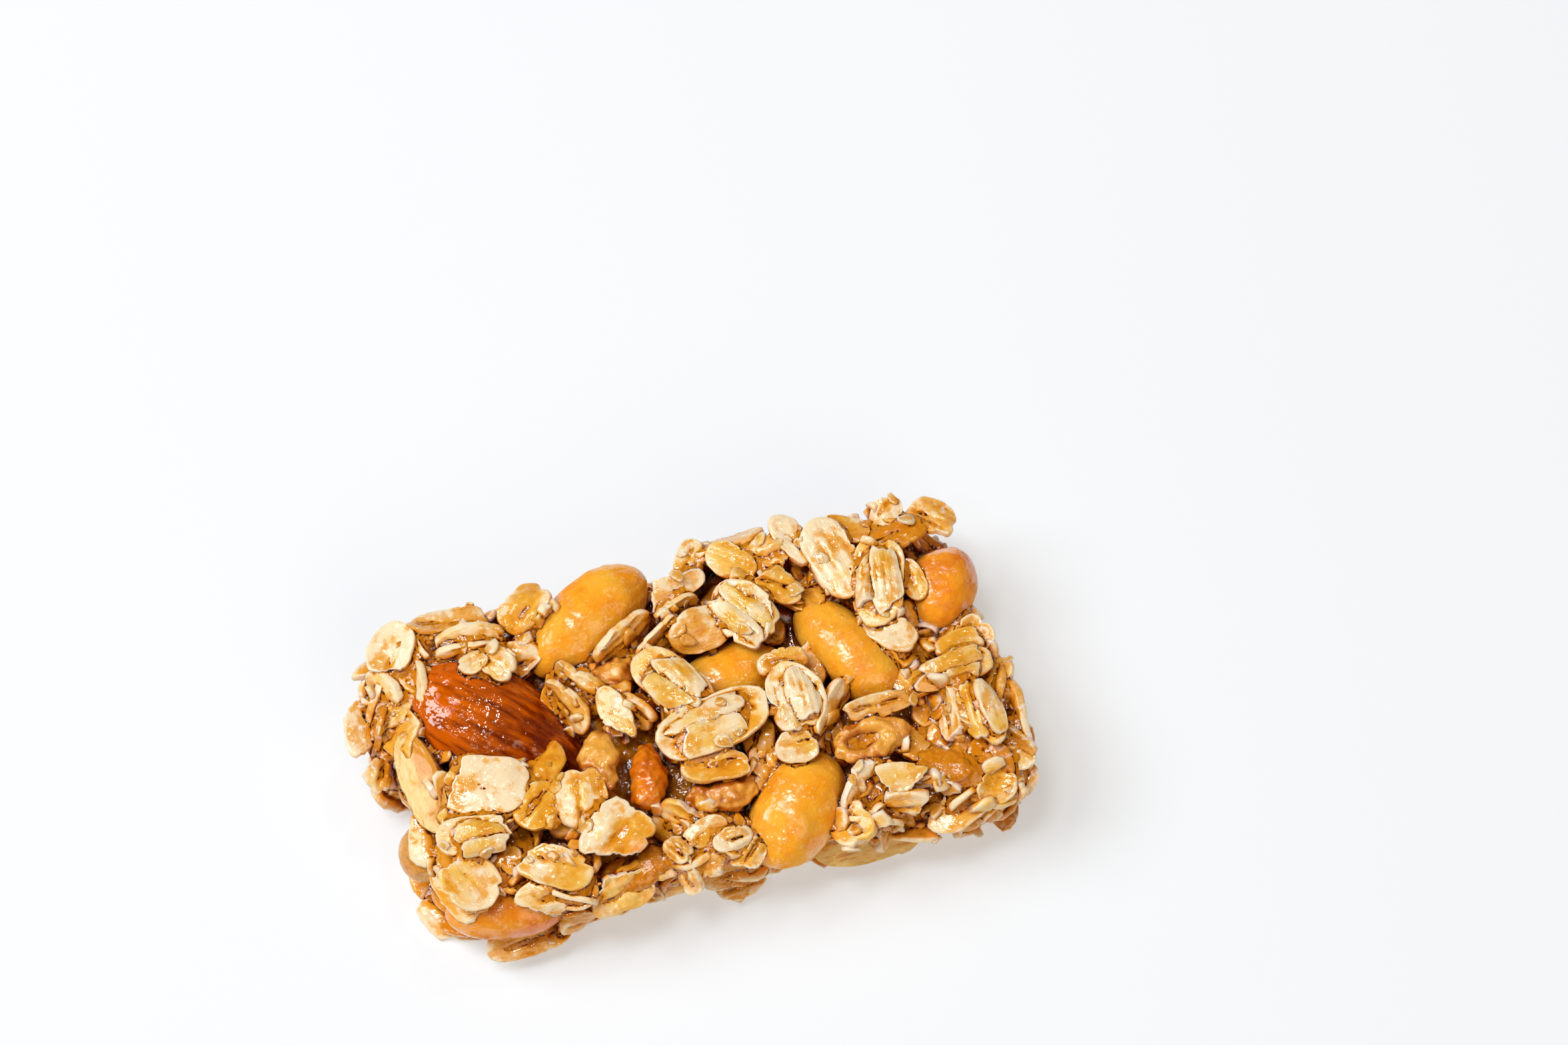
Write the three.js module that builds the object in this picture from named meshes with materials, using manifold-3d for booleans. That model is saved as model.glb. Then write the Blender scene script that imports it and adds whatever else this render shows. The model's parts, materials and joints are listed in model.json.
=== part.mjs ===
// A granola bar: a pressed block of oat flakes in syrup, with an almond, peanuts and rice crisps.
// Millimetres. +X runs along the bar, +Y to its back, +Z up; the bar lies flat on z = 0.
import * as THREE from 'three';
import { mergeVertices } from 'three/addons/utils/BufferGeometryUtils.js';
import Module from 'manifold-3d';

const wasm = await Module();
wasm.setup();

// Driving dimensions
const barHeight = 16;
const crumbDepth = 2; // how far flakes stand out of the sides
const coreBottom = 1.1;
const coreTop = 12.2;
const coreBevel = 1.6;
const flakeThickness = 1.35;
const rootWidth = 0.62; // of a flake's own width, where it meets the core
const rootDepth = 0.5; // into the core
const underLevel = 0.5; // middle of the flakes pressed flat underneath
const smallestLength = 5.5; // shorter flakes of the top are left out of the solid
const gap = 0.35; // clearance round each nut and crisp
const cutSize = 120; // larger than the bar, for the flat underside

// Outline of the bar seen from above, through the middles of its outer flakes
const outline = [
  [34.2, -17.6], [36.2, -11], [35.8, -3], [34.4, 4], [34.4, 12.5], [29.5, 17.2], [22, 16.6], [14, 18.2],
  [6, 18.2], [0, 16.4], [-7, 17.8], [-16, 17.2], [-24, 17.2], [-31, 15.6], [-35.6, 10], [-36, 4],
  [-33, -2], [-32.4, -9], [-31.4, -15.4], [-22, -18.4], [-12, -18], [-4, -18], [4, -18], [12, -18],
  [24, -18.4],
];

// Flakes of the top: [x, y, z, length, width, turn, pitch, roll], in degrees.
// Turn is from +X, pitch lifts the far end, roll lifts the left side.
const ovalFlakes = [
  [-31, 14.6, 13.6, 6.6, 5, 50, 0, -12], [-28.4, -13.2, 14.1, 6.6, 6, -62, -14, 0],
  [-14.3, -7.6, 15, 6.6, 5.4, 80, 0, 8], [-11.3, -12.2, 15.2, 10, 6.2, 36, 0, 6],
  [-8.3, 0.7, 15, 7, 3.2, -78, 0, 12], [-19.3, -7.2, 14.6, 5.6, 4.6, 30, 0, -8],
  [1.3, -7.1, 14.6, 8.2, 4.2, -3, 0, -8], [1.2, 13.9, 14.7, 7.6, 3.6, 17, 0, 20],
  [3, 8.2, 14.9, 7, 4.8, 10, 0, 22], [8.5, 15.1, 14.7, 6.2, 3.8, -40, 0, 10],
  [13, 15, 14.6, 5.6, 4.6, 0, 0, 0], [13, 11.4, 14.9, 5.6, 4, -30, -10, 0],
  [16.1, 16, 14.6, 7, 3.6, -60, 0, -8], [20, 12.7, 15.3, 9.5, 5.8, -72, 0, 0],
  [22.4, 16.2, 13.9, 5.4, 3.4, -20, 0, -14], [27, 16.8, 14.5, 4.2, 3.4, 50, 0, -10],
  [28, 14, 15, 6.6, 3.2, 10, 0, -6], [32, 15, 14, 5.6, 5, -40, 8, -14],
  [27.9, 8.3, 14.4, 4.8, 2.9, -75, 0, 10], [24, 2.9, 14.6, 6, 3.8, -40, 0, 0],
  [11.2, 2.3, 15.2, 5.6, 3, 0, 0, 10], [10.3, -7.5, 15, 4.6, 3.6, -5, 0, 14],
  [20.3, -5.1, 15, 8.8, 2.6, 2, 0, 20], [20.8, -13.8, 14.6, 7.6, 3.2, -15, 0, 16],
  [-28.6, -6.8, 14.4, 4.6, 3.6, 0, 0, 0], [7, -8.3, 12.9, 5.2, 3.6, -60, 0, 0],
  [-36, 7, 11.8, 7, 4.4, 80, -8, 16], [-35.8, 1.6, 11.6, 4, 3.4, 70, 0, 18],
  [-32, 7.6, 12.9, 4.6, 3, 0, 0, 0], [-24, 16.2, 13.6, 8.6, 4, -8, 0, -24],
  [-19.8, 9.9, 15.1, 4.6, 3.4, -50, 0, 0], [-22.6, 10.6, 15.2, 3.2, 2.6, 20, 0, 0],
  [-2, -14.2, 13.5, 5.2, 3, 20, 0, 8], [1, -15.8, 13.7, 4.6, 2.6, 5, 0, 10],
  [2.2, -17.6, 12.6, 4.2, 3.2, 30, 0, 18], [-2.4, -17.4, 12.6, 4.4, 3.2, -20, 0, 20],
  [-5.2, -15.4, 13.7, 3.4, 2.6, -50, 0, 10], [4, 16.8, 14, 4.8, 3.2, 60, 0, 0],
  [26.5, -13.8, 13.9, 7.4, 5.4, -20, 0, 0], [30.8, -17, 12.6, 4.6, 3.8, 20, 0, 12],
  [34.2, -14.2, 12.6, 4.2, 3, 0, 0, 14], [31.2, -0.2, 14.4, 5.6, 3, 5, 0, -8],
  [33, 0.6, 12.8, 4.6, 4, 40, 0, 0], [26.7, -18.2, 9.6, 5, 4, -30, 0, 42],
  [-12.4, -17.9, 10.6, 7.6, 4.8, 12, 0, 46], [-17.4, -18.6, 6.6, 5, 4, 0, 0, 60],
  [-7, -17.4, 7.6, 5.6, 3.4, 0, 0, 50], [0.8, -17.8, 6.8, 7.4, 3.6, 2, 0, 40],
  [-9.6, -16.6, 12.7, 6, 4, 20, 0, 14], [-24, -11.6, 13.2, 4.4, 3.2, -50, 0, 0],
  [-15.4, 16, 13.9, 6.4, 4.4, 32, 0, -12], [34.6, -4.4, 12.6, 5, 3.6, 80, 0, -16],
];
const lobedFlakes = [
  [-24.6, -3.4, 15.1, 9.6, 6.6, -10, 0, 0], [-26.3, -9, 14.9, 8.6, 4.4, -8, 0, 8],
  [-18.9, -14.2, 14.2, 9.2, 3.8, -28, -6, 6], [-20.8, -16.9, 13, 6.4, 4.6, 12, 0, 22],
  [-1.3, 2.6, 15.3, 10.2, 5.6, -56, 0, 0], [1.6, -3, 15.4, 12.2, 6, 10, 0, 0],
  [8.8, 8.6, 15.2, 9.8, 6, -56, 0, 8], [24, 8.8, 15.4, 10.2, 5.4, 76, 0, -8],
  [11.4, -2, 15.3, 7.8, 6, -84, 0, 0], [31.2, -9, 15.2, 8.2, 4.8, -86, 0, -6],
  [29.6, -3, 14.8, 10.4, 4, 3, 0, 22],
];
const edgeFlakes = [
  [-32.9, 10.6, 12.6, 6.4, 3.8, -62, 0, 62], [-29.4, 10, 13, 7, 3.6, 76, 0, -62],
  [-22.8, 13.7, 13.8, 8, 3.6, -8, 0, 58], [-22.6, 12.4, 13.5, 7, 3.4, -6, 0, 64],
  [-27.4, 14.4, 12.9, 5, 3.6, -72, 0, -60], [-13.3, 3.6, 13.6, 7.2, 3.8, -63, 0, 66],
  [-11.4, 5.3, 13.6, 7.6, 3.8, -58, 0, 60], [-6, 1.4, 13.6, 5.8, 3.4, -52, 0, 66],
  [-5.4, 9.9, 13.8, 8, 3.8, 27, 0, 62], [1, 11.4, 13.7, 6, 3.4, 20, 0, 64],
  [-0.8, 9, 13.7, 8, 3.6, 30, 0, 60], [8.2, 17.7, 13.2, 9, 3.8, 5, 0, -58],
  [15, -4.2, 13.9, 7.8, 3.6, 50, 0, 56], [28, -8.3, 13.7, 7.8, 3.8, 80, 0, -60],
  [35.2, -9.6, 12.4, 9, 4, -85, 0, 66], [34.6, -12.4, 12.6, 5.6, 3.2, -56, 0, 60],
  [17.3, -12.4, 13.7, 8.6, 3.8, 30, 0, 60], [20.4, -16.2, 12.8, 8, 3.6, -14, 0, 52],
  [16.6, -17, 11.6, 5.4, 3.2, 30, 0, 60], [18, -17.4, 9.6, 5.6, 3.4, 56, 0, 60],
  [-4.9, -17.2, 12, 6.4, 3, -75, -30, 50], [-3.4, -12, 13, 6.4, 3.6, -36, 0, 52],
  [-23.4, -18.8, 4, 9.4, 4, 2, 0, 24], [1.4, -17.9, 2.6, 6, 3.8, 0, 0, 20],
  [32.8, -17, 11.4, 4, 3, -65, 0, 56], [34.2, -16, 10.4, 4, 3.4, 60, 0, 20],
];

// Nuts and rice crisps, each a piece of its own: size is length, width, height
const pieces = [
  { name: 'almond_whole', kind: 'almond', at: [-20.9, 3.4, 11],
    size: [23, 12.4, 7.8], turn: -41, pitch: -7 },
  { name: 'peanut_back_left', kind: 'peanut', at: [-8.9, 13.3, 11.5],
    size: [17, 9.6, 8.2], turn: 27, pitch: 3 },
  { name: 'peanut_right', kind: 'peanut', at: [18.9, 2.6, 11.9], size: [15.6, 8.4, 8], turn: -60 },
  { name: 'peanut_front', kind: 'peanut', at: [8.8, -13.6, 10.7],
    size: [14.4, 10.2, 9], turn: 46, roll: 8 },
  { name: 'peanut_middle', kind: 'peanut', at: [4.9, 3.1, 10.6], size: [13.4, 8.2, 7.4], turn: 12 },
  { name: 'peanut_corner', kind: 'peanut', at: [31.4, 7.4, 11.4], size: [10.6, 8, 8], turn: 65 },
  { name: 'peanut_front_left', kind: 'peanut', at: [-25.4, -16.1, 8.2],
    size: [13.4, 7, 6.8], turn: -8, roll: 20 },
  { name: 'nut_chunk', kind: 'chunk', at: [-6.6, -6, 12.6], size: [8.2, 4.8, 5], turn: 76 },
  { name: 'peanut_cut_left', kind: 'half', at: [-31.2, -1.2, 13.6],
    size: [12.6, 4.8, 9], turn: -82, roll: 24 },
  { name: 'almond_cut_left', kind: 'half', at: [-31.8, -7.4, 8.4],
    size: [7, 5, 8], turn: -84, roll: -60 },
  { name: 'peanut_half_front', kind: 'half', at: [17.2, -17.4, 6.4],
    size: [15, 6.6, 8], turn: 4, roll: 38 },
  { name: 'peanut_back_low', kind: 'peanut', at: [-25.4, 15, 5.6], size: [13, 7, 7], turn: 4, roll: 10 },
  { name: 'almond_back_low', kind: 'almond', at: [14.6, 15.4, 6],
    size: [20, 6.8, 9.6], turn: 184, pitch: 4 },
  { name: 'peanut_right_low', kind: 'peanut', at: [33, -6.6, 5.8], size: [12, 7, 7], turn: 84, pitch: 5 },
  { name: 'almond_half_under', kind: 'half', at: [12, -3.2, 0],
    size: [20, 10.6, 9], turn: 24, roll: 180 },
  { name: 'peanut_half_under', kind: 'half', at: [-19, 2.4, 0], size: [14, 8, 8], turn: -52, roll: 180 },
  { name: 'rice_crisp_left', kind: 'crisp', at: [-11.5, -3.9, 14.2], size: [7.4, 4.8, 3.2], turn: 82 },
  { name: 'rice_crisp_middle', kind: 'crisp', at: [1, -10.4, 12.6], size: [9, 5, 3.8], turn: 6 },
  { name: 'rice_crisp_right', kind: 'crisp', at: [18.5, -8.6, 14.4], size: [8.8, 5.3, 3.6], turn: 5 },
  { name: 'rice_crisp_back', kind: 'crisp', at: [-7.6, 5.8, 13.2], size: [6, 4.2, 3.4], turn: 10 },
];

const colours = {
  oat: 0xe2b878,
  almond: 0x96421a,
  peanut: 0xd98f3e,
  half: 0xe6bf86,
  chunk: 0xd07a24,
  crisp: 0xa8703f,
};

const radians = THREE.MathUtils.degToRad;

// Seeded draws: each call gives a number between low and high
function makeDraw(seed) {
  let state = seed;
  return (low, high) => {
    state = (state * 48271) % 2147483647;
    return low + (high - low) * (state / 2147483647);
  };
}

// A closed sphere with shared vertices and its poles on Y
function closedSphere(around, along) {
  const sphere = new THREE.SphereGeometry(1, around, along);
  sphere.deleteAttribute('normal');
  sphere.deleteAttribute('uv');
  return mergeVertices(sphere);
}

function toSolid(geometry) {
  const bare = geometry.clone();
  for (const name of Object.keys(bare.attributes)) {
    if (name !== 'position') bare.deleteAttribute(name);
  }
  const merged = mergeVertices(bare);
  const mesh = new wasm.Mesh({
    numProp: 3,
    vertProperties: Float32Array.from(merged.attributes.position.array),
    triVerts: Uint32Array.from(merged.index.array),
  });
  return new wasm.Manifold(mesh);
}

function toGeometry(solid) {
  const { vertProperties, triVerts } = solid.getMesh();
  const geometry = new THREE.BufferGeometry();
  geometry.setAttribute('position', new THREE.BufferAttribute(Float32Array.from(vertProperties), 3));
  geometry.setIndex(new THREE.BufferAttribute(Uint32Array.from(triVerts), 1));
  return geometry;
}

const turned = (turn, pitch, roll) =>
  new THREE.Euler(radians(roll), radians(-pitch), radians(turn), 'ZYX');

// One oat flake: a flat disc with a blunt rim. Its underside is drawn down by depth to a narrower root.
function flakeSolid([x, y, z, length, width, turn, pitch, roll], sides, depth = 0) {
  const flake = closedSphere(sides, 3).rotateX(Math.PI / 2);
  const between = makeDraw(Math.round(1000 * (length + width)));
  const half = flakeThickness / 2;
  const points = flake.attributes.position;
  const point = new THREE.Vector3();
  for (let i = 0; i < points.count; i += 1) {
    point.fromBufferAttribute(points, i);
    const under = point.z < 0 && depth > half;
    const spread = between(1.1, 1.2) * (under ? rootWidth : 1);
    const level = under ? -depth : Math.sign(point.z) * half;
    points.setXYZ(i, point.x * spread * length / 2, point.y * spread * width / 2, level);
  }
  flake.applyMatrix4(new THREE.Matrix4().makeRotationFromEuler(turned(turn, pitch, roll)));
  return toSolid(flake.translate(x, y, z));
}

// The outline's corners, drawn in towards the middle by inset
function outlineCorners(inset) {
  return outline.map(([x, y]) => {
    const corner = new THREE.Vector3(x, y, 0);
    return corner.setLength(corner.length() - inset);
  });
}

// The pressed core under the flakes
function coreSolid() {
  const corners = outlineCorners(crumbDepth + coreBevel);
  const shape = new THREE.Shape(corners.map(({ x, y }) => new THREE.Vector2(x, y)));
  const core = new THREE.ExtrudeGeometry(shape, {
    depth: coreTop - coreBottom - 2 * coreBevel,
    bevelThickness: coreBevel,
    bevelSize: coreBevel,
    bevelSegments: 1,
    curveSegments: 1,
  });
  return toSolid(core.translate(0, 0, coreBottom + coreBevel));
}

// Flakes that fill the gaps of the top, a little below the listed ones
function bedFlakes() {
  const rows = [];
  const between = makeDraw(21);
  const step = 5.4;
  const clear = 3.6;
  const above = [...ovalFlakes, ...lobedFlakes, ...edgeFlakes, ...pieces.map(({ at }) => at)];
  for (let x = -29; x <= 31; x += step) {
    for (let y = -13; y <= 14; y += step) {
      const covered = above.some((row) => Math.hypot(row[0] - x, row[1] - y) < clear);
      if (!covered) {
        rows.push([x, y, coreTop + between(0.2, 0.9), between(6, 8), between(4.4, 6),
          between(0, 360), between(-14, 14), between(-18, 18)]);
      }
    }
  }
  return rows;
}

// Flakes of the sides and ends: some lie against the wall, some stand out of it edge first
function sideFlakes() {
  const walk = new THREE.CurvePath();
  const corners = outlineCorners(crumbDepth);
  corners.forEach((corner, i) => {
    walk.add(new THREE.LineCurve3(corner, corners[(i + 1) % corners.length]));
  });
  const rows = [];
  const between = makeDraw(22);
  const levels = [2.6, 6.6, 10.4];
  const across = 9.4;
  const count = Math.round(walk.getLength() / across);
  levels.forEach((level, row) => {
    for (let i = 0; i < count; i += 1) {
      const along = (i + 0.5 * (row % 2) + between(0.1, 0.6)) / count;
      const at = walk.getPoint(along % 1);
      const tangent = walk.getTangent(along % 1);
      const wall = THREE.MathUtils.radToDeg(Math.atan2(tangent.y, tangent.x));
      const lying = between(0, 1) < 0.45;
      const out = lying ? 0.2 : between(-0.7, 0.5);
      const roll = lying ? between(-100, -66) : between(-32, 24);
      rows.push([at.x + tangent.y * out, at.y - tangent.x * out, level + between(-0.8, 0.8),
        between(6.4, 9), between(4, 5.6), wall + between(-20, 20), between(-14, 14), roll]);
    }
  });
  return rows;
}

// Flakes pressed flat on the underside
function underFlakes() {
  const rows = [[-0.6, -0.6, underLevel, 9, 7, 20, 0, 0]];
  const between = makeDraw(23);
  const stepX = 10.4;
  const stepY = 8.2;
  for (let x = -29.5; x <= 31; x += stepX) {
    for (let y = -14.6; y <= 15; y += stepY) {
      rows.push([x + between(-1.4, 1.4), y + between(-1.2, 1.2), underLevel + between(-0.1, 0.25),
        between(7, 9), between(5.4, 7), between(0, 360), between(-3, 3), between(-4, 4)]);
    }
  }
  return rows;
}

// How wide a nut is at u, from -1 at one end to 1 at the other
const girth = {
  almond: (u) => Math.sqrt(1 - u * u) * (1 - 0.3 * u - 0.12 * u * u),
  peanut: (u) => (1 - Math.abs(u) ** 2.4) ** 0.5 * (0.94 + 0.06 * u),
  half: (u) => (1 - Math.abs(u) ** 2.2) ** 0.5,
  chunk: (u) => (1 - Math.abs(u) ** 2.6) ** 0.45 * (0.94 + 0.1 * Math.sin(4 * u)),
  crisp: (u) => (1 - Math.abs(u) ** 2.4) ** 0.5 * (0.93 + 0.08 * Math.sin(7 * u)),
};
const detail = { almond: [10, 8], peanut: [8, 6], half: [8, 6], chunk: [7, 6], crisp: [7, 6] };
const lumps = { almond: 0, peanut: 0.02, half: 0.02, chunk: 0.09, crisp: 0.09 };

// A nut or crisp, grown by clearance; a half is flat above its middle
function pieceGeometry({ kind, size, name }, clearance = 0) {
  const [around, along] = detail[kind];
  const body = closedSphere(around, along).rotateZ(-Math.PI / 2);
  const uneven = makeDraw(100 * name.length);
  const points = body.attributes.position;
  const point = new THREE.Vector3();
  for (let i = 0; i < points.count; i += 1) {
    point.fromBufferAttribute(points, i);
    const u = THREE.MathUtils.clamp(point.x, -1, 1);
    const ring = Math.hypot(point.y, point.z);
    const wide = ring > 1e-4 ? girth[kind](u) / ring : 0;
    const lump = 1 + uneven(-lumps[kind], lumps[kind]);
    const x = u * (size[0] / 2 + clearance);
    const y = point.y * wide * lump * (size[1] / 2 + clearance);
    const z = point.z * wide * lump * (size[2] / 2 + clearance);
    points.setXYZ(i, x, y, kind === 'half' ? Math.min(z, clearance) : z);
  }
  return body;
}

function place(object, { at, turn, pitch = 0, roll = 0 }) {
  object.position.set(...at);
  object.rotation.copy(turned(turn, pitch, roll));
  object.updateMatrix();
  return object;
}

// The oat mass: core and flakes fused, cut flat underneath, with a socket for each piece
function oatMass() {
  let mass = coreSolid();
  const rooted = (row) => row[2] - coreTop + rootDepth;
  const large = (row) => row[3] > smallestLength;
  for (const row of ovalFlakes.filter(large)) mass = mass.add(flakeSolid(row, 7, rooted(row)));
  for (const row of lobedFlakes) mass = mass.add(flakeSolid(row, 8, rooted(row)));
  for (const row of edgeFlakes.filter(large)) mass = mass.add(flakeSolid(row, 6));
  for (const row of bedFlakes()) mass = mass.add(flakeSolid(row, 6));
  for (const row of sideFlakes()) mass = mass.add(flakeSolid(row, 6));
  for (const row of underFlakes()) mass = mass.add(flakeSolid(row, 6));
  for (const piece of pieces) {
    const socket = pieceGeometry(piece, gap);
    mass = mass.subtract(toSolid(socket.applyMatrix4(place(new THREE.Object3D(), piece).matrix)));
  }
  const above = new THREE.BoxGeometry(cutSize, cutSize, barHeight).translate(0, 0, barHeight / 2);
  mass = mass.intersect(toSolid(above));
  const bodies = mass.decompose();
  return bodies.reduce((best, body) => (body.volume() > best.volume() ? body : best));
}

const finish = (colour, roughness) =>
  new THREE.MeshStandardMaterial({ color: colour, roughness, metalness: 0 });

const bar = new THREE.Group();
const oats = new THREE.Mesh(toGeometry(oatMass()), finish(colours.oat, 0.5));
oats.name = 'oat_mass';
bar.add(oats);
for (const piece of pieces) {
  const mesh = new THREE.Mesh(pieceGeometry(piece), finish(colours[piece.kind], 0.3));
  mesh.name = piece.name;
  bar.add(place(mesh, piece));
}

// The origin lies under the middle of the bar's box
const box = new THREE.Box3().setFromObject(bar, true);
const middle = box.getCenter(new THREE.Vector3());
bar.position.set(-middle.x, -middle.y, 0);
const group = new THREE.Group();
group.add(bar);

export default group;
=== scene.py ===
import json
import math

import bpy
import numpy as np
from mathutils import Euler, Matrix, Vector

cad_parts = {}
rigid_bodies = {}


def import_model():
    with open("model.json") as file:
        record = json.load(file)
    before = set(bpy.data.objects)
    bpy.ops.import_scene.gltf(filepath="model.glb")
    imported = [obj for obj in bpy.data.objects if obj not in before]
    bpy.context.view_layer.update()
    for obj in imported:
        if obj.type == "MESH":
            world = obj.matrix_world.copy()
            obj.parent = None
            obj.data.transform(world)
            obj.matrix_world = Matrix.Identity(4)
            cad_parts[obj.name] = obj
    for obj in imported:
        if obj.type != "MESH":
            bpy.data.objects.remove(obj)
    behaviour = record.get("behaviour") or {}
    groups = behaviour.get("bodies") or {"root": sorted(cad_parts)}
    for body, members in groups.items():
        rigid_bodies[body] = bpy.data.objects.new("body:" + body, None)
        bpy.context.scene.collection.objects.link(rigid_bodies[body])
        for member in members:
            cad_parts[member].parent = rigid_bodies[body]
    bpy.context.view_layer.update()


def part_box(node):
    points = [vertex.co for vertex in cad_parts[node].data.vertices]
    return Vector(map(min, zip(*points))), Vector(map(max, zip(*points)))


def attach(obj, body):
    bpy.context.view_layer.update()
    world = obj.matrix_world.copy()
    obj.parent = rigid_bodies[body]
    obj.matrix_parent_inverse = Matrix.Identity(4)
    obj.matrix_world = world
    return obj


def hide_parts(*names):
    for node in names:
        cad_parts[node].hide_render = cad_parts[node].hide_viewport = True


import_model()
mm = 0.001  # rows and sizes below are in millimetres

# The bar's mass, in its own frame
bar = {
    "crumbDepth": 2,      # how far flakes stand out of the sides
    "coreBottom": 1.1,
    "coreTop": 12.2,
    "skinTop": 10.4,      # of the syrup between the flakes
    "coreBevel": 1.6,
    "underLevel": 0.5,    # middle of the flakes pressed flat underneath
    "outline": [
        [34.2, -17.6], [36.2, -11], [35.8, -3], [34.4, 4], [34.4, 12.5], [29.5, 17.2], [22, 16.6], [14, 18.2],
        [6, 18.2], [0, 16.4], [-7, 17.8], [-16, 17.2], [-24, 17.2], [-31, 15.6], [-35.6, 10], [-36, 4],
        [-33, -2], [-32.4, -9], [-31.4, -15.4], [-22, -18.4], [-12, -18], [-4, -18], [4, -18], [12, -18],
        [24, -18.4],
    ],
}

# Flakes of the top: x, y, z, length, width, turn from +X, pitch of the far end, roll of the left side, glaze
ovalFlakes = [
    [-31.02, 14.6, 13.6, 6.6, 5, 50, 0, -12, 0.1], [-28.4, -13.2, 14.1, 6.6, 6, -62, -14, 0, 0.1],
    [-14.3, -7.6, 15, 6.6, 5.4, 80, 0, 8, 0.35], [-11.3, -12.2, 15.2, 10, 6.2, 36, 0, 6, 0.1],
    [-8.3, 0.7, 15, 7, 3.2, -78, 0, 12, 0.3], [-19.3, -7.2, 14.6, 5.6, 4.6, 30, 0, -8, 0.55],
    [1.3, -7.1, 14.6, 8.2, 4.2, -3, 0, -8, 0.2], [1.2, 13.9, 14.7, 7.6, 3.6, 17, 0, 20, 0.1],
    [3, 8.2, 14.9, 7, 4.8, 10, 0, 22, 0.5], [8.5, 15.1, 14.7, 6.2, 3.8, -40, 0, 10, 0.15],
    [13, 15, 14.6, 5.6, 4.6, 0, 0, 0, 0.45], [13, 11.4, 14.9, 5.6, 4, -30, -10, 0, 0.6],
    [16.1, 16, 14.6, 7, 3.6, -60, 0, -8, 0.2], [20, 12.7, 15.3, 9.5, 5.8, -72, 0, 0, 0.2],
    [22.4, 16.2, 13.9, 5.4, 3.4, -20, 0, -14, 0.7], [27, 16.8, 14.5, 4.2, 3.4, 50, 0, -10, 0.2],
    [28, 14, 15, 6.6, 3.2, 10, 0, -6, 0.9], [32, 15, 14, 5.6, 5, -40, 8, -14, 0.75],
    [27.9, 8.3, 14.4, 4.8, 2.9, -75, 0, 10, 0.25], [24, 2.9, 14.6, 6, 3.8, -40, 0, 0, 0.15],
    [11.2, 2.3, 15.2, 5.6, 3, 0, 0, 10, 0.6], [10.3, -7.5, 15, 4.6, 3.6, -5, 0, 14, 0.15],
    [20.3, -5.1, 15, 8.8, 2.6, 2, 0, 20, 0.6], [20.8, -13.8, 14.6, 7.6, 3.2, -15, 0, 16, 0.1],
    [-28.6, -6.8, 14.4, 4.6, 3.6, 0, 0, 0, 0.7], [7, -8.3, 12.9, 5.2, 3.6, -60, 0, 0, 0.3],
    [-36, 7, 11.8, 7, 4.4, 80, -8, 16, 0.5], [-35.8, 1.6, 11.6, 4, 3.4, 70, 0, 18, 0.5],
    [-32, 7.6, 12.9, 4.6, 3, 0, 0, 0, 0.3], [-24, 16.2, 13.6, 8.6, 4, -8, 0, -24, 0.65],
    [-19.8, 9.9, 15.1, 4.6, 3.4, -50, 0, 0, 0.35], [-22.6, 10.6, 15.2, 3.2, 2.6, 20, 0, 0, 0.2],
    [-2, -14.2, 13.5, 5.2, 3, 20, 0, 8, 0.5], [1, -15.8, 13.7, 4.6, 2.6, 5, 0, 10, 0.15],
    [2.2, -17.6, 12.6, 4.2, 3.2, 30, 0, 18, 0.4], [-2.4, -17.4, 12.6, 4.4, 3.2, -20, 0, 20, 0.4],
    [-5.2, -15.4, 13.7, 3.4, 2.6, -50, 0, 10, 0.4], [4, 16.8, 14, 4.8, 3.2, 60, 0, 0, 0.4],
    [26.5, -13.8, 13.9, 7.4, 5.4, -20, 0, 0, 1], [30.8, -17, 12.6, 4.6, 3.8, 20, 0, 12, 0.45],
    [34.2, -14.2, 12.6, 4.2, 3, 0, 0, 14, 0.4], [31.2, -0.2, 14.4, 5.6, 3, 5, 0, -8, 0.4],
    [33, 0.6, 12.8, 4.6, 4, 40, 0, 0, 0.3], [26.7, -18.2, 9.6, 5, 4, -30, 0, 42, 0.6],
    [-12.4, -17.9, 11.4, 7.6, 4.8, 12, 0, 34, 0.15], [-17.4, -18.6, 6.6, 5, 4, 0, 0, 60, 0.7],
    [-7, -17.4, 7.6, 5.6, 3.4, 0, 0, 50, 0.4], [0.8, -17.8, 6.8, 7.4, 3.6, 2, 0, 40, 0.5],
    [-9.6, -16.6, 12.7, 6, 4, 20, 0, 14, 1], [-24, -11.6, 13.2, 4.4, 3.2, -50, 0, 0, 0.7],
    [-15.4, 16, 13.9, 6.4, 4.4, 32, 0, -12, 0.75], [34.6, -4.4, 12.6, 5, 3.6, 80, 0, -16, 0.5],
    [-24.6, -3.4, 15.1, 9.6, 6.6, -10, 0, 0, 0.15], [-18.9, -14.2, 14.2, 9.2, 4.2, -28, -6, 6, 0.15],
    [-20.8, -16.9, 13, 6.4, 4.6, 12, 0, 22, 0.15],
]
lobedFlakes = [
    [-26.3, -9, 14.9, 8.6, 4.4, -8, 0, 8, 0.3],
    [-1.3, 2.6, 15.3, 10.2, 5.6, -56, 0, 0, 0.1], [1.6, -3, 15.4, 12.2, 6, 10, 0, 0, 0.1],
    [8.8, 8.6, 15.2, 9.8, 6, -56, 0, 8, 0.2], [24, 8.8, 15.4, 10.2, 5.4, 76, 0, -8, 0.15],
    [11.4, -2, 15.3, 7.8, 6, -84, 0, 0, 0.15], [31.2, -9, 15.2, 8.2, 4.8, -86, 0, -6, 0.2],
    [29.6, -3, 14.8, 10.4, 4, 3, 0, 22, 0.3],
]
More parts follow.
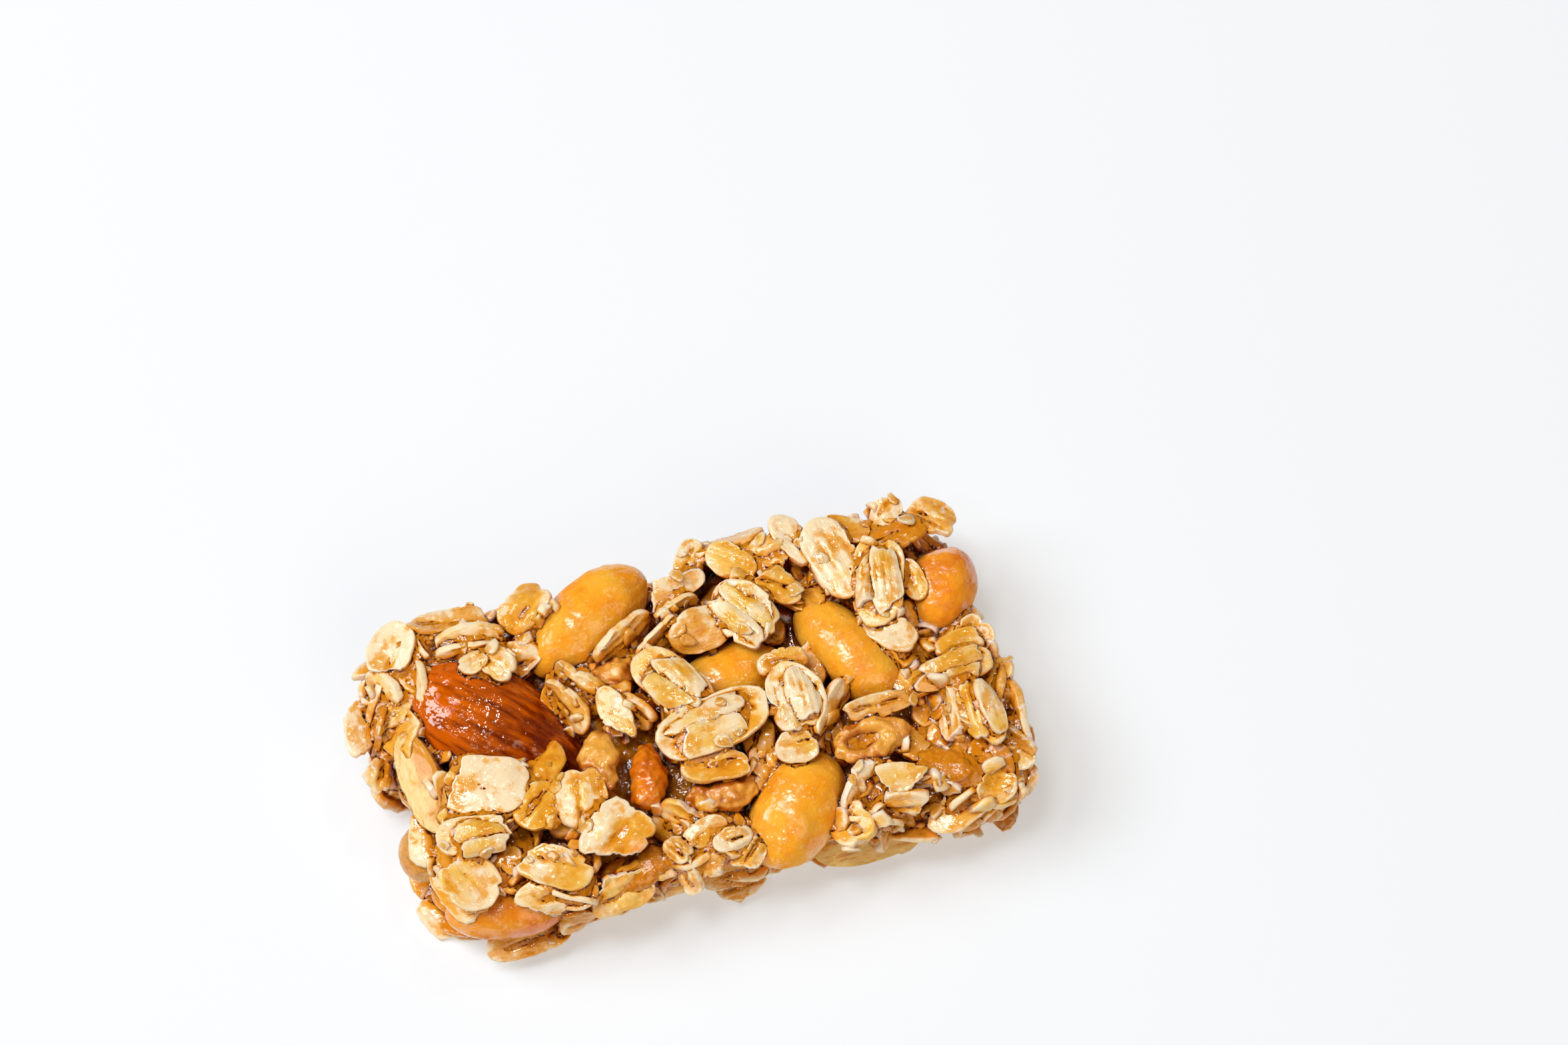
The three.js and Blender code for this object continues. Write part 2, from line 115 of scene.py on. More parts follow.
edgeFlakes = [
    [-32.9, 10.6, 12.6, 6.4, 3.8, -62, 0, 62, 0], [-29.4, 10, 13, 7, 3.6, 76, 0, -62, 0.2],
    [-22.8, 13.7, 13.8, 8, 3.6, -8, 0, 58, 0.3], [-22.6, 12.4, 13.5, 7, 3.4, -6, 0, 64, 0.15],
    [-27.4, 14.4, 12.9, 5, 3.6, -72, 0, -60, 0.5], [-13.3, 3.6, 13.6, 7.2, 3.8, -63, 0, 66, 0.7],
    [-11.4, 5.3, 13.6, 7.6, 3.8, -58, 0, 60, 0.6], [-6, 1.4, 13.6, 5.8, 3.4, -52, 0, 66, 0.4],
    [-5.4, 9.9, 13.8, 8, 3.8, 27, 0, 62, 0.25], [1, 11.4, 13.7, 6, 3.4, 20, 0, 64, 0.5],
    [-0.8, 9, 13.7, 8, 3.6, 30, 0, 60, 0.3], [8.2, 17.7, 13.2, 9, 3.8, 5, 0, -58, 0.5],
    [15, -4.2, 13.9, 7.8, 3.6, 50, 0, 56, 0.3], [28, -8.3, 13.7, 7.8, 3.8, 80, 0, -60, 0.1],
    [35.2, -9.6, 12.4, 9, 4, -85, 0, 66, 0.8], [34.6, -12.4, 12.6, 5.6, 3.2, -56, 0, 60, 0.7],
    [17.3, -12.4, 13.7, 8.6, 3.8, 30, 0, 60, 0.15], [20.4, -16.2, 12.8, 8, 3.6, -14, 0, 52, 0.3],
    [16.6, -17, 11.6, 5.4, 3.2, 30, 0, 60, 0.25], [18, -17.4, 9.6, 5.6, 3.4, 56, 0, 60, 0.25],
    [-4.9, -17.2, 12, 6.4, 3, -75, -30, 50, 0.2], [-3.4, -12, 13, 6.4, 3.6, -36, 0, 52, 0.3],
    [-23.4, -18.8, 4, 9.4, 4, 2, 0, 24, 0.7], [1.4, -17.9, 2.6, 6, 3.8, 0, 0, 20, 0.6],
    [32.8, -17, 11.4, 4, 3, -65, 0, 56, 0.4], [34.2, -16, 10.4, 4, 3.4, 60, 0, 20, 0.4],
]

def newNut(kind, at, size, turn, pitch=0, roll=0, finish=None):
    return {"kind": kind, "at": at, "size": size, "turn": turn, "pitch": pitch, "roll": roll,
            "finish": finish or kind}


# Nuts and rice crisps: kind, place, length, width and height, turn from +X
nuts = {
    "almond_whole": newNut("almond", (-20.9, 3.4, 11), (23, 12.4, 7.8), -41, pitch=-7),
    "peanut_back_left": newNut("peanut", (-8.9, 13.3, 11.5), (17, 9.6, 8.2), 27, pitch=3),
    "peanut_right": newNut("peanut", (18.9, 2.6, 11.9), (15.6, 8.4, 8), -60),
    "peanut_front": newNut("peanut", (8.8, -13.6, 10.7), (14.4, 10.2, 9), 46, roll=8),
    "peanut_middle": newNut("peanut", (4.9, 3.1, 10.6), (13.4, 8.2, 7.4), 12),
    "peanut_corner": newNut("peanut", (31.4, 7.4, 11.4), (10.6, 8, 8), 65, finish="amberPeanut"),
    "peanut_front_left": newNut("peanut", (-25.4, -16.1, 8.2), (13.4, 7, 6.8), -8, roll=20,
                                finish="amberPeanut"),
    "nut_chunk": newNut("chunk", (-6.6, -6, 12.6), (8.2, 4.8, 5), 76),
    "peanut_cut_left": newNut("half", (-31.2, -1.2, 13.6), (12.6, 4.8, 9), -82, roll=24),
    "almond_cut_left": newNut("half", (-31.8, -7.4, 8.4), (7, 5, 8), -84, roll=-60),
    "peanut_half_front": newNut("half", (17.2, -17.4, 6.4), (15, 6.6, 8), 4, roll=38),
    "peanut_back_low": newNut("peanut", (-25.4, 15, 5.6), (13, 7, 7), 4, roll=10),
    "almond_back_low": newNut("almond", (14.6, 15.4, 6), (20, 6.8, 9.6), 184, pitch=4),
    "peanut_right_low": newNut("peanut", (33, -6.6, 5.8), (12, 7, 7), 84, pitch=5),
    "almond_half_under": newNut("half", (12, -3.2, 0), (20, 10.6, 9), 24, roll=180),
    "peanut_half_under": newNut("half", (-19, 2.4, 0), (14, 8, 8), -52, roll=180),
    "rice_crisp_left": newNut("crisp", (-11.5, -3.9, 14.2), (7.4, 4.8, 3.2), 82),
    "rice_crisp_middle": newNut("crisp", (1, -10.4, 12.6), (9, 5, 3.8), 6),
    "rice_crisp_right": newNut("crisp", (18.5, -8.6, 14.4), (8.8, 5.3, 3.6), 5),
    "rice_crisp_back": newNut("crisp", (-7.6, 5.8, 13.2), (6, 4.2, 3.4), 10),
}


def makeDraw(seed):
    state = [seed]

    def draw(low, high):
        state[0] = state[0] * 48271 % 2147483647
        return low + (high - low) * state[0] / 2147483647

    return draw


def insetOutline(inset):
    corners = np.array(bar["outline"], float)
    reach = np.linalg.norm(corners, axis=1, keepdims=True)
    return corners * (reach - inset) / reach


def reachOf(x, y):  # from the middle to the outline, in the direction of a place
    corners = np.array(bar["outline"], float)
    angles = np.arctan2(corners[:, 1], corners[:, 0])
    order = np.argsort(angles)
    reach = np.linalg.norm(corners, axis=1)[order]
    return np.interp(math.atan2(y, x), angles[order], reach, period=2 * math.pi)


def fromNut(nut, at):  # a place seen from a nut, turned with it
    turn = math.radians(nut["turn"])
    dx, dy, dz = np.array(at) - nut["at"]
    sine, cosine = math.sin(turn), math.cos(turn)
    return np.array([dx * cosine + dy * sine, dy * cosine - dx * sine, dz])


def againstNut(at, clear=2):  # so close that a flake would cover the nut
    return any(np.linalg.norm(fromNut(nut, at) / (np.array(nut["size"]) / 2 + clear)) < 1
               for nut in nuts.values())


def overNut(x, y, share=0.5, lowest=9):  # above the middle of a nut of the top
    return any(math.hypot(*(fromNut(nut, (x, y, 0))[:2] / nut["size"][:2])) < share
               for nut in nuts.values() if nut["at"][2] > lowest)


# Layers of flakes in a grid, each flake strayed, turned and tilted a little
layers = {
    "bed": {       # fills the gaps of the top, a little below the listed flakes, clear of their middles
        "seed": 21, "first": (-29, -13), "step": (5.4, 5.4), "count": (12, 6), "clear": 3.6,
        "level": (0.2, 0.9), "length": (6, 8), "width": (4.4, 6), "pitch": (-14, 14), "roll": (-18, 18)},
    "between": {   # shows in the gaps of the top
        "seed": 24, "first": (-33, -16.6), "step": (3.9, 3.7), "count": (18, 10), "stray": (1.3, 1.3),
        "share": 0.8, "inside": 2.4,
        "level": (-1, 1.1), "length": (5, 8), "width": (3.2, 5.2), "pitch": (-28, 28), "roll": (-28, 28)},
    "under": {     # pressed flat on the underside
        "seed": 23, "first": (-29.5, -14.6), "step": (10.4, 8.2), "count": (6, 4), "stray": (1.4, 1.2),
        "level": (-0.1, 0.25), "length": (7, 9), "width": (5.4, 7), "pitch": (-3, 3), "roll": (-4, 4)},
    "pressed": {   # closes the underside
        "seed": 26, "first": (-35, -18), "step": (4.1, 4), "count": (18, 10), "stray": (1.2, 1.2),
        "inside": 2.6,
        "level": (0.4, 0.7), "length": (5.6, 8.8), "width": (4.2, 6.4), "pitch": (-5, 5), "roll": (-5, 5)},
}


def layerRows(layer, base):
    draw = makeDraw(layer["seed"])
    rows = []
    for i, j in np.ndindex(*layer["count"]):
        x, y = (first + step * k for first, step, k in zip(layer["first"], layer["step"], (i, j)))
        if "clear" in layer and any(math.hypot(a - x, b - y) < layer["clear"] for a, b in topPlaces):
            continue
        if "stray" in layer:
            x, y = (c + draw(-stray, stray) for c, stray in zip((x, y), layer["stray"]))
        row = [x, y, base + draw(*layer["level"]), draw(*layer["length"]), draw(*layer["width"]),
               draw(0, 360), draw(*layer["pitch"]), draw(*layer["roll"])]
        taken = "share" not in layer or draw(0, 1) < layer["share"]
        if taken and ("inside" not in layer or math.hypot(x, y) < reachOf(x, y) - layer["inside"]):
            rows.append(row)
    return rows


def wallWalk():  # the way along the wall of the core
    corners = insetOutline(bar["crumbDepth"])
    runs = np.roll(corners, -1, axis=0) - corners
    lengths = np.linalg.norm(runs, axis=1)
    ends = np.cumsum(lengths)

    def spot(share):  # a place, the direction out of the wall, and the wall's turn
        walked = share % 1 * ends[-1]
        k = int(np.searchsorted(ends, walked))
        x, y = runs[k] / lengths[k]
        at = corners[k] + runs[k] / lengths[k] * (walked - ends[k] + lengths[k])
        return at, np.array([y, -x]), math.degrees(math.atan2(y, x))

    return spot


# Tiers of flakes along the sides
tiers = {
    "side": {      # some lie against the wall, the others stand out of it edge first
        "seed": 22, "levels": [2.6, 6.6, 10.4], "count": 20, "along": (0.1, 0.6), "lift": (-0.8, 0.8),
        "lying": 0.45, "lyingOut": 0.2, "lyingRoll": (-100, -66), "out": (-0.7, 0.5), "roll": (-32, 24),
        "length": (6.4, 9), "width": (4, 5.6), "turn": (-20, 20), "pitch": (-14, 14)},
    "wall": {      # more that lie against the sides, so that they close over the core
        "seed": 25, "levels": [1.9, 4.3, 6.7, 9.1, 11.2], "count": 38, "along": (-0.3, 0.3),
        "lift": (-0.8, 0.8), "out": (-0.5, 0.6), "roll": (-116, -50),
        "length": (4.6, 7.6), "width": (3, 4.8), "turn": (-40, 40), "pitch": (-24, 24)},
}


def tierRows(tier):
    draw = makeDraw(tier["seed"])
    spot = wallWalk()
    rows = []
    for k, i in np.ndindex(len(tier["levels"]), tier["count"]):
        at, outward, turn = spot((i + 0.5 * (k % 2) + draw(*tier["along"])) / tier["count"])
        lying = "lying" in tier and draw(0, 1) < tier["lying"]
        out = tier["lyingOut"] if lying else draw(*tier["out"])
        early = [draw(*tier["lyingRoll" if lying else "roll"])] if "lying" in tier else []
        row = [*(at + outward * out), tier["levels"][k] + draw(*tier["lift"]), draw(*tier["length"]),
               draw(*tier["width"]), turn + draw(*tier["turn"]), draw(*tier["pitch"])]
        rows.append(row + (early or [draw(*tier["roll"])]))
    return rows


topRows = ovalFlakes + lobedFlakes + edgeFlakes
topPlaces = [row[:2] for row in topRows] + [nut["at"][:2] for nut in nuts.values()]
bed, sides = layerRows(layers["bed"], bar["coreTop"]), tierRows(tiers["side"])
between = [row for row in layerRows(layers["between"], bar["coreTop"]) if not overNut(*row[:2])]
under = [[-0.6, -0.6, bar["underLevel"], 9, 7, 20, 0, 0]] + layerRows(layers["under"], bar["underLevel"])
pressed = [row for row in layerRows(layers["pressed"], 0) if not againstNut(row[:3])]
wall = [row for row in tierRows(tiers["wall"]) if not againstNut(row[:3])]
around = bed + sides + under
print("rows by rule:", len(bed), len(sides), len(under), len(between), len(wall), len(pressed))


# Shapes are arrays of points in millimetres

def turning(turn, pitch=0, roll=0):
    return np.array(Euler((math.radians(roll), math.radians(-pitch), math.radians(turn))).to_matrix())


def placed(points, at, turn, pitch=0, roll=0):
    return points @ turning(turn, pitch, roll).T + np.array(at, float)


def loftFaces(rings, around):  # rings of points between two poles, which come last
    ring = np.arange(rings * around).reshape(rings, around)
    beside = np.roll(ring, -1, axis=1)
    quads = np.stack([ring[:-1], beside[:-1], beside[1:], ring[1:]], -1).reshape(-1, 4)
    first = np.full(around, rings * around)
    caps = np.concatenate([np.stack([first, beside[0], ring[0]], -1),
                           np.stack([first + 1, ring[-1], beside[-1]], -1)])
    return quads, caps


def joined(shapes):  # one shape of many: points, quads, triangles and values
    start = np.cumsum([0] + [len(shape["points"]) for shape in shapes])
    whole = {"points": np.concatenate([shape["points"] for shape in shapes])}
    for part in ("quads", "tris"):
        whole[part] = np.concatenate([shape[part] + at for shape, at in zip(shapes, start)])
    whole["values"] = {label: np.concatenate([shape["values"][label] for shape in shapes])
                       for label in shapes[0]["values"]}
    return whole


def waves(points, seed, count, shortest, longest):  # smooth random field, about -1 to 1
    rng = np.random.default_rng(seed)
    total = np.zeros(len(points))
    for _ in range(count):
        way = rng.normal(size=3)
        way *= 2 * np.pi / rng.uniform(shortest, longest) / np.linalg.norm(way)
        total += np.sin(points @ way + rng.uniform(0, 2 * np.pi))
    return total / math.sqrt(count)


flakeForm = {
    "flatGrid": (8, 6, 3, 50),    # rings of the top, the rim and the underside, and points around
    "lobedGrid": (7, 7, 2, 48),
    "thickness": 1.0,
    "grow": 1.08,        # of the listed length and width
    "wobble": 0.12,      # unevenness of the outline
    "crease": 0.27,
    "swell": 0.24,       # of the lobes beside a crease
    "bend": 0.5,
    "fold": 1.3,
    "crown": 0.5,        # of the lobes
    "lumps": 0.055,
    "grain": 0.03,
}


def flakeOutline(angle, halfLength, halfWidth, rng, lobed, breaks):
    power = rng.uniform(2.0, 2.6)
    radius = (np.abs(np.cos(angle) / halfLength) ** power
              + np.abs(np.sin(angle) / halfWidth) ** power) ** (-1 / power)
    for k in (1, 2, 3, 4, 5, 7, 9, 13):
        depth = flakeForm["wobble"] * rng.uniform(0.3, 1) / (k + 1)
        radius = radius * (1 + depth * np.sin(k * angle + rng.uniform(0, 6.3)))
    notch = rng.uniform(0.1, 0.26) if lobed else rng.choice([0, 0.06, 0.14])
    dents = [(rng.uniform(-0.1, 0.1), notch, 0.2)]
    dents += [(rng.uniform(0, 6.3), rng.uniform(0.06, 0.2), rng.uniform(0.04, 0.1))
              for _ in range(rng.integers(0, 4))]
    for at, depth, reach in dents:
        off = (angle - at + math.pi) % (2 * math.pi) - math.pi
        radius = radius * (1 - depth * np.exp(-(off / reach) ** 2))
    limit = np.full_like(radius, 1e3)
    for way, share in breaks:
        off = angle - way
        reach = share * np.interp(way % (2 * math.pi), angle, radius)
        jag = (1 + 0.05 * np.sin(8 * off + rng.uniform(0, 6.3))
               + 0.035 * np.sin(21 * off + rng.uniform(0, 6.3)))
        facing = np.cos(off)
        limit = np.minimum(limit, np.where(facing > 0.15, reach * jag / np.maximum(facing, 0.15), 1e3))
    return np.minimum(radius, limit), (limit < radius).astype(float)


def plateRings(top, rim, low):  # share of the way out and tilt of the rim, from underneath round to the top
    share = np.concatenate([np.linspace(0, 1, low + 2)[1:-1], np.ones(rim),
                            1 - np.linspace(0, 1, top + 2)[1:-1] ** 1.3])
    tilt = np.concatenate([np.full(low, -math.pi / 2), np.linspace(-math.pi / 2, math.pi / 2, rim),
                           np.full(top, math.pi / 2)])
    return share, tilt


def flakeRelief(x, y, u, v, wide, face, seed, rng, creased, crowned):
    form = flakeForm
    middle = (rng.uniform(-0.2, 0.2) + rng.uniform(-0.35, 0.35) * u
              + 0.08 * np.sin(3 * u + rng.uniform(0, 6)) + 0.03 * np.sin(11 * u + rng.uniform(0, 6)))
    start, stop = rng.uniform(-1.1, -0.5), rng.uniform(0.5, 1.1)
    run = (np.clip((u - start) / 0.3, 0, 1) * np.clip((stop - u) / 0.3, 0, 1)
           * (0.75 + 0.25 * np.sin(7 * u + rng.uniform(0, 6))))
    depth = form["crease"] * (rng.uniform(0.8, 1.3) if creased else rng.choice([0, 0, 0.4, 0.8]))
    depth = 0 if crowned else depth
    beside = np.abs(v - middle)
    relief = -depth * run * np.exp(-(beside / rng.uniform(0.08, 0.19)) ** 2)
    relief += (form["swell"] * (rng.uniform(0.8, 1.3) if creased else rng.uniform(0, 0.4)) * run
               * np.exp(-((beside - 0.42) / 0.26) ** 2))
    relief += rng.uniform(0, 0.26) * (depth > 0.1) * np.tanh((v - middle) / 0.08) * run
    ribs = np.sin(2 * math.pi * y / rng.uniform(0.8, 1.5) + np.sin(1.9 * u + rng.uniform(0, 6))
                  + rng.uniform(0, 6))
    relief += rng.choice([0, 0.02, 0.05, 0.1]) * ribs * np.clip(1.3 - wide, 0, 1)
    flat = np.stack([x, y, face], -1)
    return relief + (form["lumps"] * waves(flat, seed + 1, 7, 2.0, 4.6)
                     + form["grain"] * waves(flat, seed + 2, 14, 0.5, 1.2))


def flakeShape(length, width, seed, creased, grid, breaks=None, plump=1.0, crown=0.0):
    rng = np.random.default_rng(seed)
    bend, fold = flakeForm["bend"], flakeForm["fold"]
    share, tilt = plateRings(*grid[:3])
    rings, around = len(share), grid[3]
    angle = np.linspace(0, 2 * math.pi, around, endpoint=False)
    if breaks is None:
        breaks = [(rng.choice([0, math.pi]) + rng.normal() * 0.9, rng.uniform(0.6, 0.88))
                  for _ in range(rng.choice([0, 0, 1, 1, 2, 3]))]
    halfLength, halfWidth = length * flakeForm["grow"] / 2, width * flakeForm["grow"] / 2
    outline, broken = flakeOutline(angle, halfLength, halfWidth, rng, creased, breaks)
    thick = flakeForm["thickness"] * rng.uniform(0.7, 1.1) * plump / 2
    inset = thick * np.clip(0.34 + 0.24 * np.sin(2 * angle + rng.uniform(0, 6)), 0.14, 0.6)
    inset = inset * (1 - 0.6 * broken)
    out = share[:, None] * (outline - inset) + inset * np.cos(tilt)[:, None]
    x, y = (np.append((out * way(angle)).ravel(), [0, 0]) for way in (np.cos, np.sin))
    z = thick * np.append(np.repeat(np.sin(tilt), around), [-1, 1])
    face = np.sign(np.append(np.repeat(share < 1, around) * np.repeat(np.sin(tilt), around), [-1, 1]))
    wide = np.append(np.repeat(share, around), [0, 0])
    upper = np.clip(z / thick, 0, 1)
    u, v = x / halfLength, y / halfWidth
    relief = flakeRelief(x, y, u, v, wide, face, seed, rng, creased, crown)
    z = z + relief * (0.35 + 0.65 * upper)
    z += (crown + rng.uniform(-0.5, 0.7) * bend * min(1, width / 5.5)) * (1 - u * u - v * v)
    way = rng.uniform(0, math.pi)
    z += rng.uniform(-1, 1) * bend * (u * math.cos(way) + v * math.sin(way)) ** 2
    lip = rng.uniform(0, 2 * math.pi)
    z += rng.uniform(0, 1.2) * bend * np.clip(u * math.cos(lip) + v * math.sin(lip) - 0.35, 0, 1) ** 1.5
    for _ in range(rng.integers(0, 3)):
        way, at = rng.uniform(0, 2 * math.pi), rng.uniform(0.1, 0.6)
        z -= rng.uniform(0.2, 1) * fold * np.clip(u * math.cos(way) + v * math.sin(way) - at, 0, None)
    twist = np.radians(rng.uniform(-14, 14)) * u
    points = np.stack([x, y * np.cos(twist) - z * np.sin(twist), y * np.sin(twist) + z * np.cos(twist)], -1)
    quads, tris = loftFaces(rings, around)
    return {"points": points, "quads": quads, "tris": tris,
            "values": {"along": u, "across": v, "edge": np.clip((wide - 0.8) / 0.2, 0, 1) ** 2,
                       "cut": np.append(np.tile(broken, rings), [0, 0]) * (wide > 0.99),
                       "hollow": np.clip(-relief / 0.3, 0, 1) * upper,
                       "tone": np.zeros_like(u), "own": np.full_like(u, rng.random())}}


def flatShape(length, width, seed):
    return flakeShape(length, width, seed, seed % 3 == 0, flakeForm["flatGrid"])


def lobedShape(length, width, seed):  # a wide and a narrow lobe with a furrow between them, on a torn plate
    rng = np.random.default_rng(seed + 50)
    grid = flakeForm["lobedGrid"]
    shapes = [flakeShape(length, width, seed, False, grid, None, 0.85)]
    first = rng.choice([-1, 1])
    for side, narrow, wide, rise in ((first, 0.54, 0.68, 0.15), (-first, 0.4, 0.52, 0.42)):
        share = rng.uniform(narrow, wide)
        breaks = [(end + rng.normal() * 0.35, rng.uniform(0.72, 1)) for end in (0, math.pi)]
        lobe = flakeShape(length * rng.uniform(0.8, 0.96), width * share, seed + side, False, grid, breaks,
                          rng.uniform(0.8, 1), flakeForm["crown"] * rng.uniform(0.6, 1.1))
        at = (rng.uniform(-0.08, 0.08) * length, side * width * (0.48 - 0.5 * share),
              rise + rng.uniform(-0.08, 0.08))
        lobe["points"] = placed(lobe["points"], at, rng.uniform(-6, 6), rng.uniform(-4, 4),
                                rng.uniform(3, 12) * -side)
        shapes.append(lobe)
    return joined(shapes)


girth = {  # half width and height at a share of the length, from -1 to 1
    "almond": lambda u: np.sqrt(1 - u * u) * (1 - 0.3 * u - 0.12 * u * u),
    "peanut": lambda u: (1 - np.abs(u) ** 2.4) ** 0.5 * (0.94 + 0.06 * u),
    "half": lambda u: (1 - np.abs(u) ** 2.2) ** 0.5,
    "chunk": lambda u: (1 - np.abs(u) ** 2.6) ** 0.45 * (0.94 + 0.1 * np.sin(4 * u)),
    "crisp": lambda u: (1 - np.abs(u) ** 2.4) ** 0.5 * (0.93 + 0.08 * np.sin(7 * u)),
}

# Relief of each kind: rings, points around, broad lumps, fine lumps, flat chips and how deep they go
nutForm = {
    "almond": (90, 120, 0.12, 0.03, 0, 0),
    "peanut": (72, 80, 0.18, 0.03, 2, 0.1),
    "half": (60, 64, 0.14, 0.05, 1, 0.1),
    "chunk": (60, 64, 0.34, 0.12, 9, 0.22),
    "crisp": (72, 72, 0.24, 0.1, 0, 0),
}


def nutShape(name, nut):
    kind = nut["kind"]
    rings, around, broad, fine, chips, chipDepth = nutForm[kind]
    seed = sum(map(ord, name))
    rng = np.random.default_rng(seed)
    half = np.array(nut["size"]) / 2
    u = -np.cos(np.linspace(0, np.pi, rings + 2))
    u = np.concatenate([np.repeat(u[1:-1], around), u[[0, -1]]])
    angle = np.concatenate([np.tile(np.linspace(0, 2 * np.pi, around, endpoint=False), rings), [0, 0]])
    wide = girth[kind](np.clip(u, -1, 1))
    unit = np.stack([u, np.cos(angle) * wide, np.sin(angle) * wide], -1)
    for _ in range(chips):  # flat places where the nut was struck
        way = rng.normal(size=3) * [0.6, 1, 1]
        way /= np.linalg.norm(way)
        over = unit @ way - (1 - rng.uniform(0.6, 1.6) * chipDepth) * np.linalg.norm(way)
        unit -= 0.85 * (np.logaddexp(0, 18 * over) / 18)[:, None] * way
    points = unit * half
    out = unit / half
    out /= np.linalg.norm(out, axis=1, keepdims=True)
    swell = broad * waves(points, seed, 7, 4, 9) * 0.6 + fine * waves(points, seed + 1, 12, 0.9, 2)
    ridge = np.zeros_like(u)
    cutFace = np.zeros_like(u)
    if kind == "almond":
        bow = angle + 0.25 * np.sin(2.2 * u + 1)
        for count, phase in ((9, 0.4), (16, 2.1), (25, 4.0), (38, 5.2)):
            ridge += np.sin(count * bow + phase + 1.6 * np.sin(2.6 * u + phase)) / 2
        swell = swell + 0.015 * ridge * (1 - u ** 6)
    if kind == "peanut":  # the seam between its halves
        seam = np.abs(np.sin(angle - rng.uniform(0, np.pi)))
        swell = swell - 0.12 * np.exp(-(seam / 0.06) ** 2) * (1 - u ** 4)
    if kind == "crisp":
        swell = swell + 0.16 * np.abs(waves(points, seed + 2, 9, 1.4, 3.0)) - 0.1
    if name == "rice_crisp_right":  # a curled crisp, open in the middle
        hollow = np.exp(-((points[:, 0] + 0.9) / 1.9) ** 2 - (points[:, 1] / 0.9) ** 2)
        points[:, 2] -= 2.6 * hollow * (points[:, 2] > 0)
    if kind == "half":
        cutFace = (np.sin(angle) >= 0).astype(float)
        points[:, 2] = np.minimum(points[:, 2], 0)
        flat = points[:, 2] > -1e-6
        out[flat] = [0, 0, 1]
        rimmed = 1 - u * u - np.cos(angle) ** 2 * wide ** 2 / np.maximum(wide.max() ** 2, 1)
        swell = np.where(flat, -0.2 * np.clip(1.5 * rimmed, 0, 1) + 0.5 * swell, swell)
        if abs(nut["roll"]) == 180:  # pressed flat underneath
            swell = np.where(flat, np.minimum(swell, 0), swell)
    local = points + out * (swell - broad * 0.15)[:, None]
    quads, tris = loftFaces(rings, around)
    return {"points": placed(local, nut["at"], nut["turn"], nut["pitch"], nut["roll"]),
            "quads": quads, "tris": tris,
            "values": {"along": u, "ridge": ridge, "cut": cutFace,
                       "localX": local[:, 0], "localY": local[:, 1], "localZ": local[:, 2]}}


def newMesh(name, shape, shift):
    mesh = bpy.data.meshes.new(name)
    points = (shape["points"] + shift) * mm
    mesh.from_pydata(points.tolist(), [], shape["quads"].tolist() + shape["tris"].tolist())
    for label, numbers in shape["values"].items():
        mesh.attributes.new(label, "FLOAT", "POINT").data.foreach_set("value", numbers.astype(np.float32))
    mesh.shade_smooth()
    return mesh


def newObject(name, mesh):
    thing = bpy.data.objects.new(name, mesh)
    bpy.context.scene.collection.objects.link(thing)
    return thing


def readPoints(elements, label):
    flat = np.empty(len(elements) * 3, np.float32)
    elements.foreach_get(label, flat)
    return flat.reshape(-1, 3).astype(float)


def pointsOf(mesh):
    return readPoints(mesh.vertices, "co") / mm


def setPoints(mesh, points):
    mesh.vertices.foreach_set("co", (points * mm).astype(np.float32).ravel())
    mesh.update()


nutShapes = {name: nutShape(name, nut) for name, nut in nuts.items()}
offsets = []
for name, shape in nutShapes.items():
    low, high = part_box(name)
    middle = (shape["points"].min(0) + shape["points"].max(0)) / 2
    offsets.append(np.array((low + high) / 2)[:2] / mm - middle[:2])
shift = np.array([*np.median(offsets, axis=0), 0])  # from the bar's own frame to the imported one
print("bar frame shifted by", shift.round(3), "mm")

sharpAngle = math.radians(48)  # of the rim of a cut face
nutObjects = {name: newObject(name + "_dressed", newMesh(name, shape, shift))
              for name, shape in nutShapes.items()}
for name, nut in nuts.items():
    if nut["kind"] == "half":
        nutObjects[name].data.set_sharp_from_angle(angle=sharpAngle)
print("nuts and crisps:", len(nutObjects))


def listedFlakes(name, rows, makeShape):
    shapes = []
    for x, y, z, length, width, turn, pitch, roll, glaze in rows:
        if glaze == 1:
            continue  # all syrup, so it is one of the clumps
        shape = makeShape(length, width, int(1000 * (abs(x) + abs(y)) + 10 * length))
        shape["points"] = placed(shape["points"], (x, y, z), turn, pitch, roll)
        shape["values"]["tone"][:] = glaze
        shapes.append(shape)
    return newObject(name, newMesh(name, joined(shapes), shift))


topFlakes = listedFlakes("oat_flakes_top", ovalFlakes + edgeFlakes, flatShape)
lobed = listedFlakes("oat_flakes_lobed", lobedFlakes, lobedShape)
print("listed flakes:", len(topRows), "faces:", len(topFlakes.data.polygons), len(lobed.data.polygons))


class Wire:  # what a node puts out, which can be added, multiplied or put into another node
    def __init__(self, socket):
        self.socket, self.tree = socket, socket.id_data

    def __add__(self, other):
        return maths("ADD", self, other)

    def __mul__(self, other):
        return maths("MULTIPLY", self, other)


def addNode(tree, kind, inputs=None, output=0, **settings):
    node = tree.nodes.new(kind)
    for name, value in settings.items():
        setattr(node, name, value)
    for name, value in (inputs or {}).items():
        if isinstance(value, Wire):
            tree.links.new(value.socket, node.inputs[name])
        else:
            node.inputs[name].default_value = value
    return Wire(node.outputs[output])


def maths(operation, a, b=0.0, clamp=False):
    tree = (a if isinstance(a, Wire) else b).tree
    return addNode(tree, "ShaderNodeMath", {0: a, 1: b}, operation=operation, use_clamp=clamp)


def vectorMaths(operation, a, inputs):
    return addNode(a.tree, "ShaderNodeVectorMath", {0: a, **inputs}, operation=operation)


def combined(x, y, z=0.0):
    return addNode(x.tree, "ShaderNodeCombineXYZ", {0: x, 1: y, 2: z})


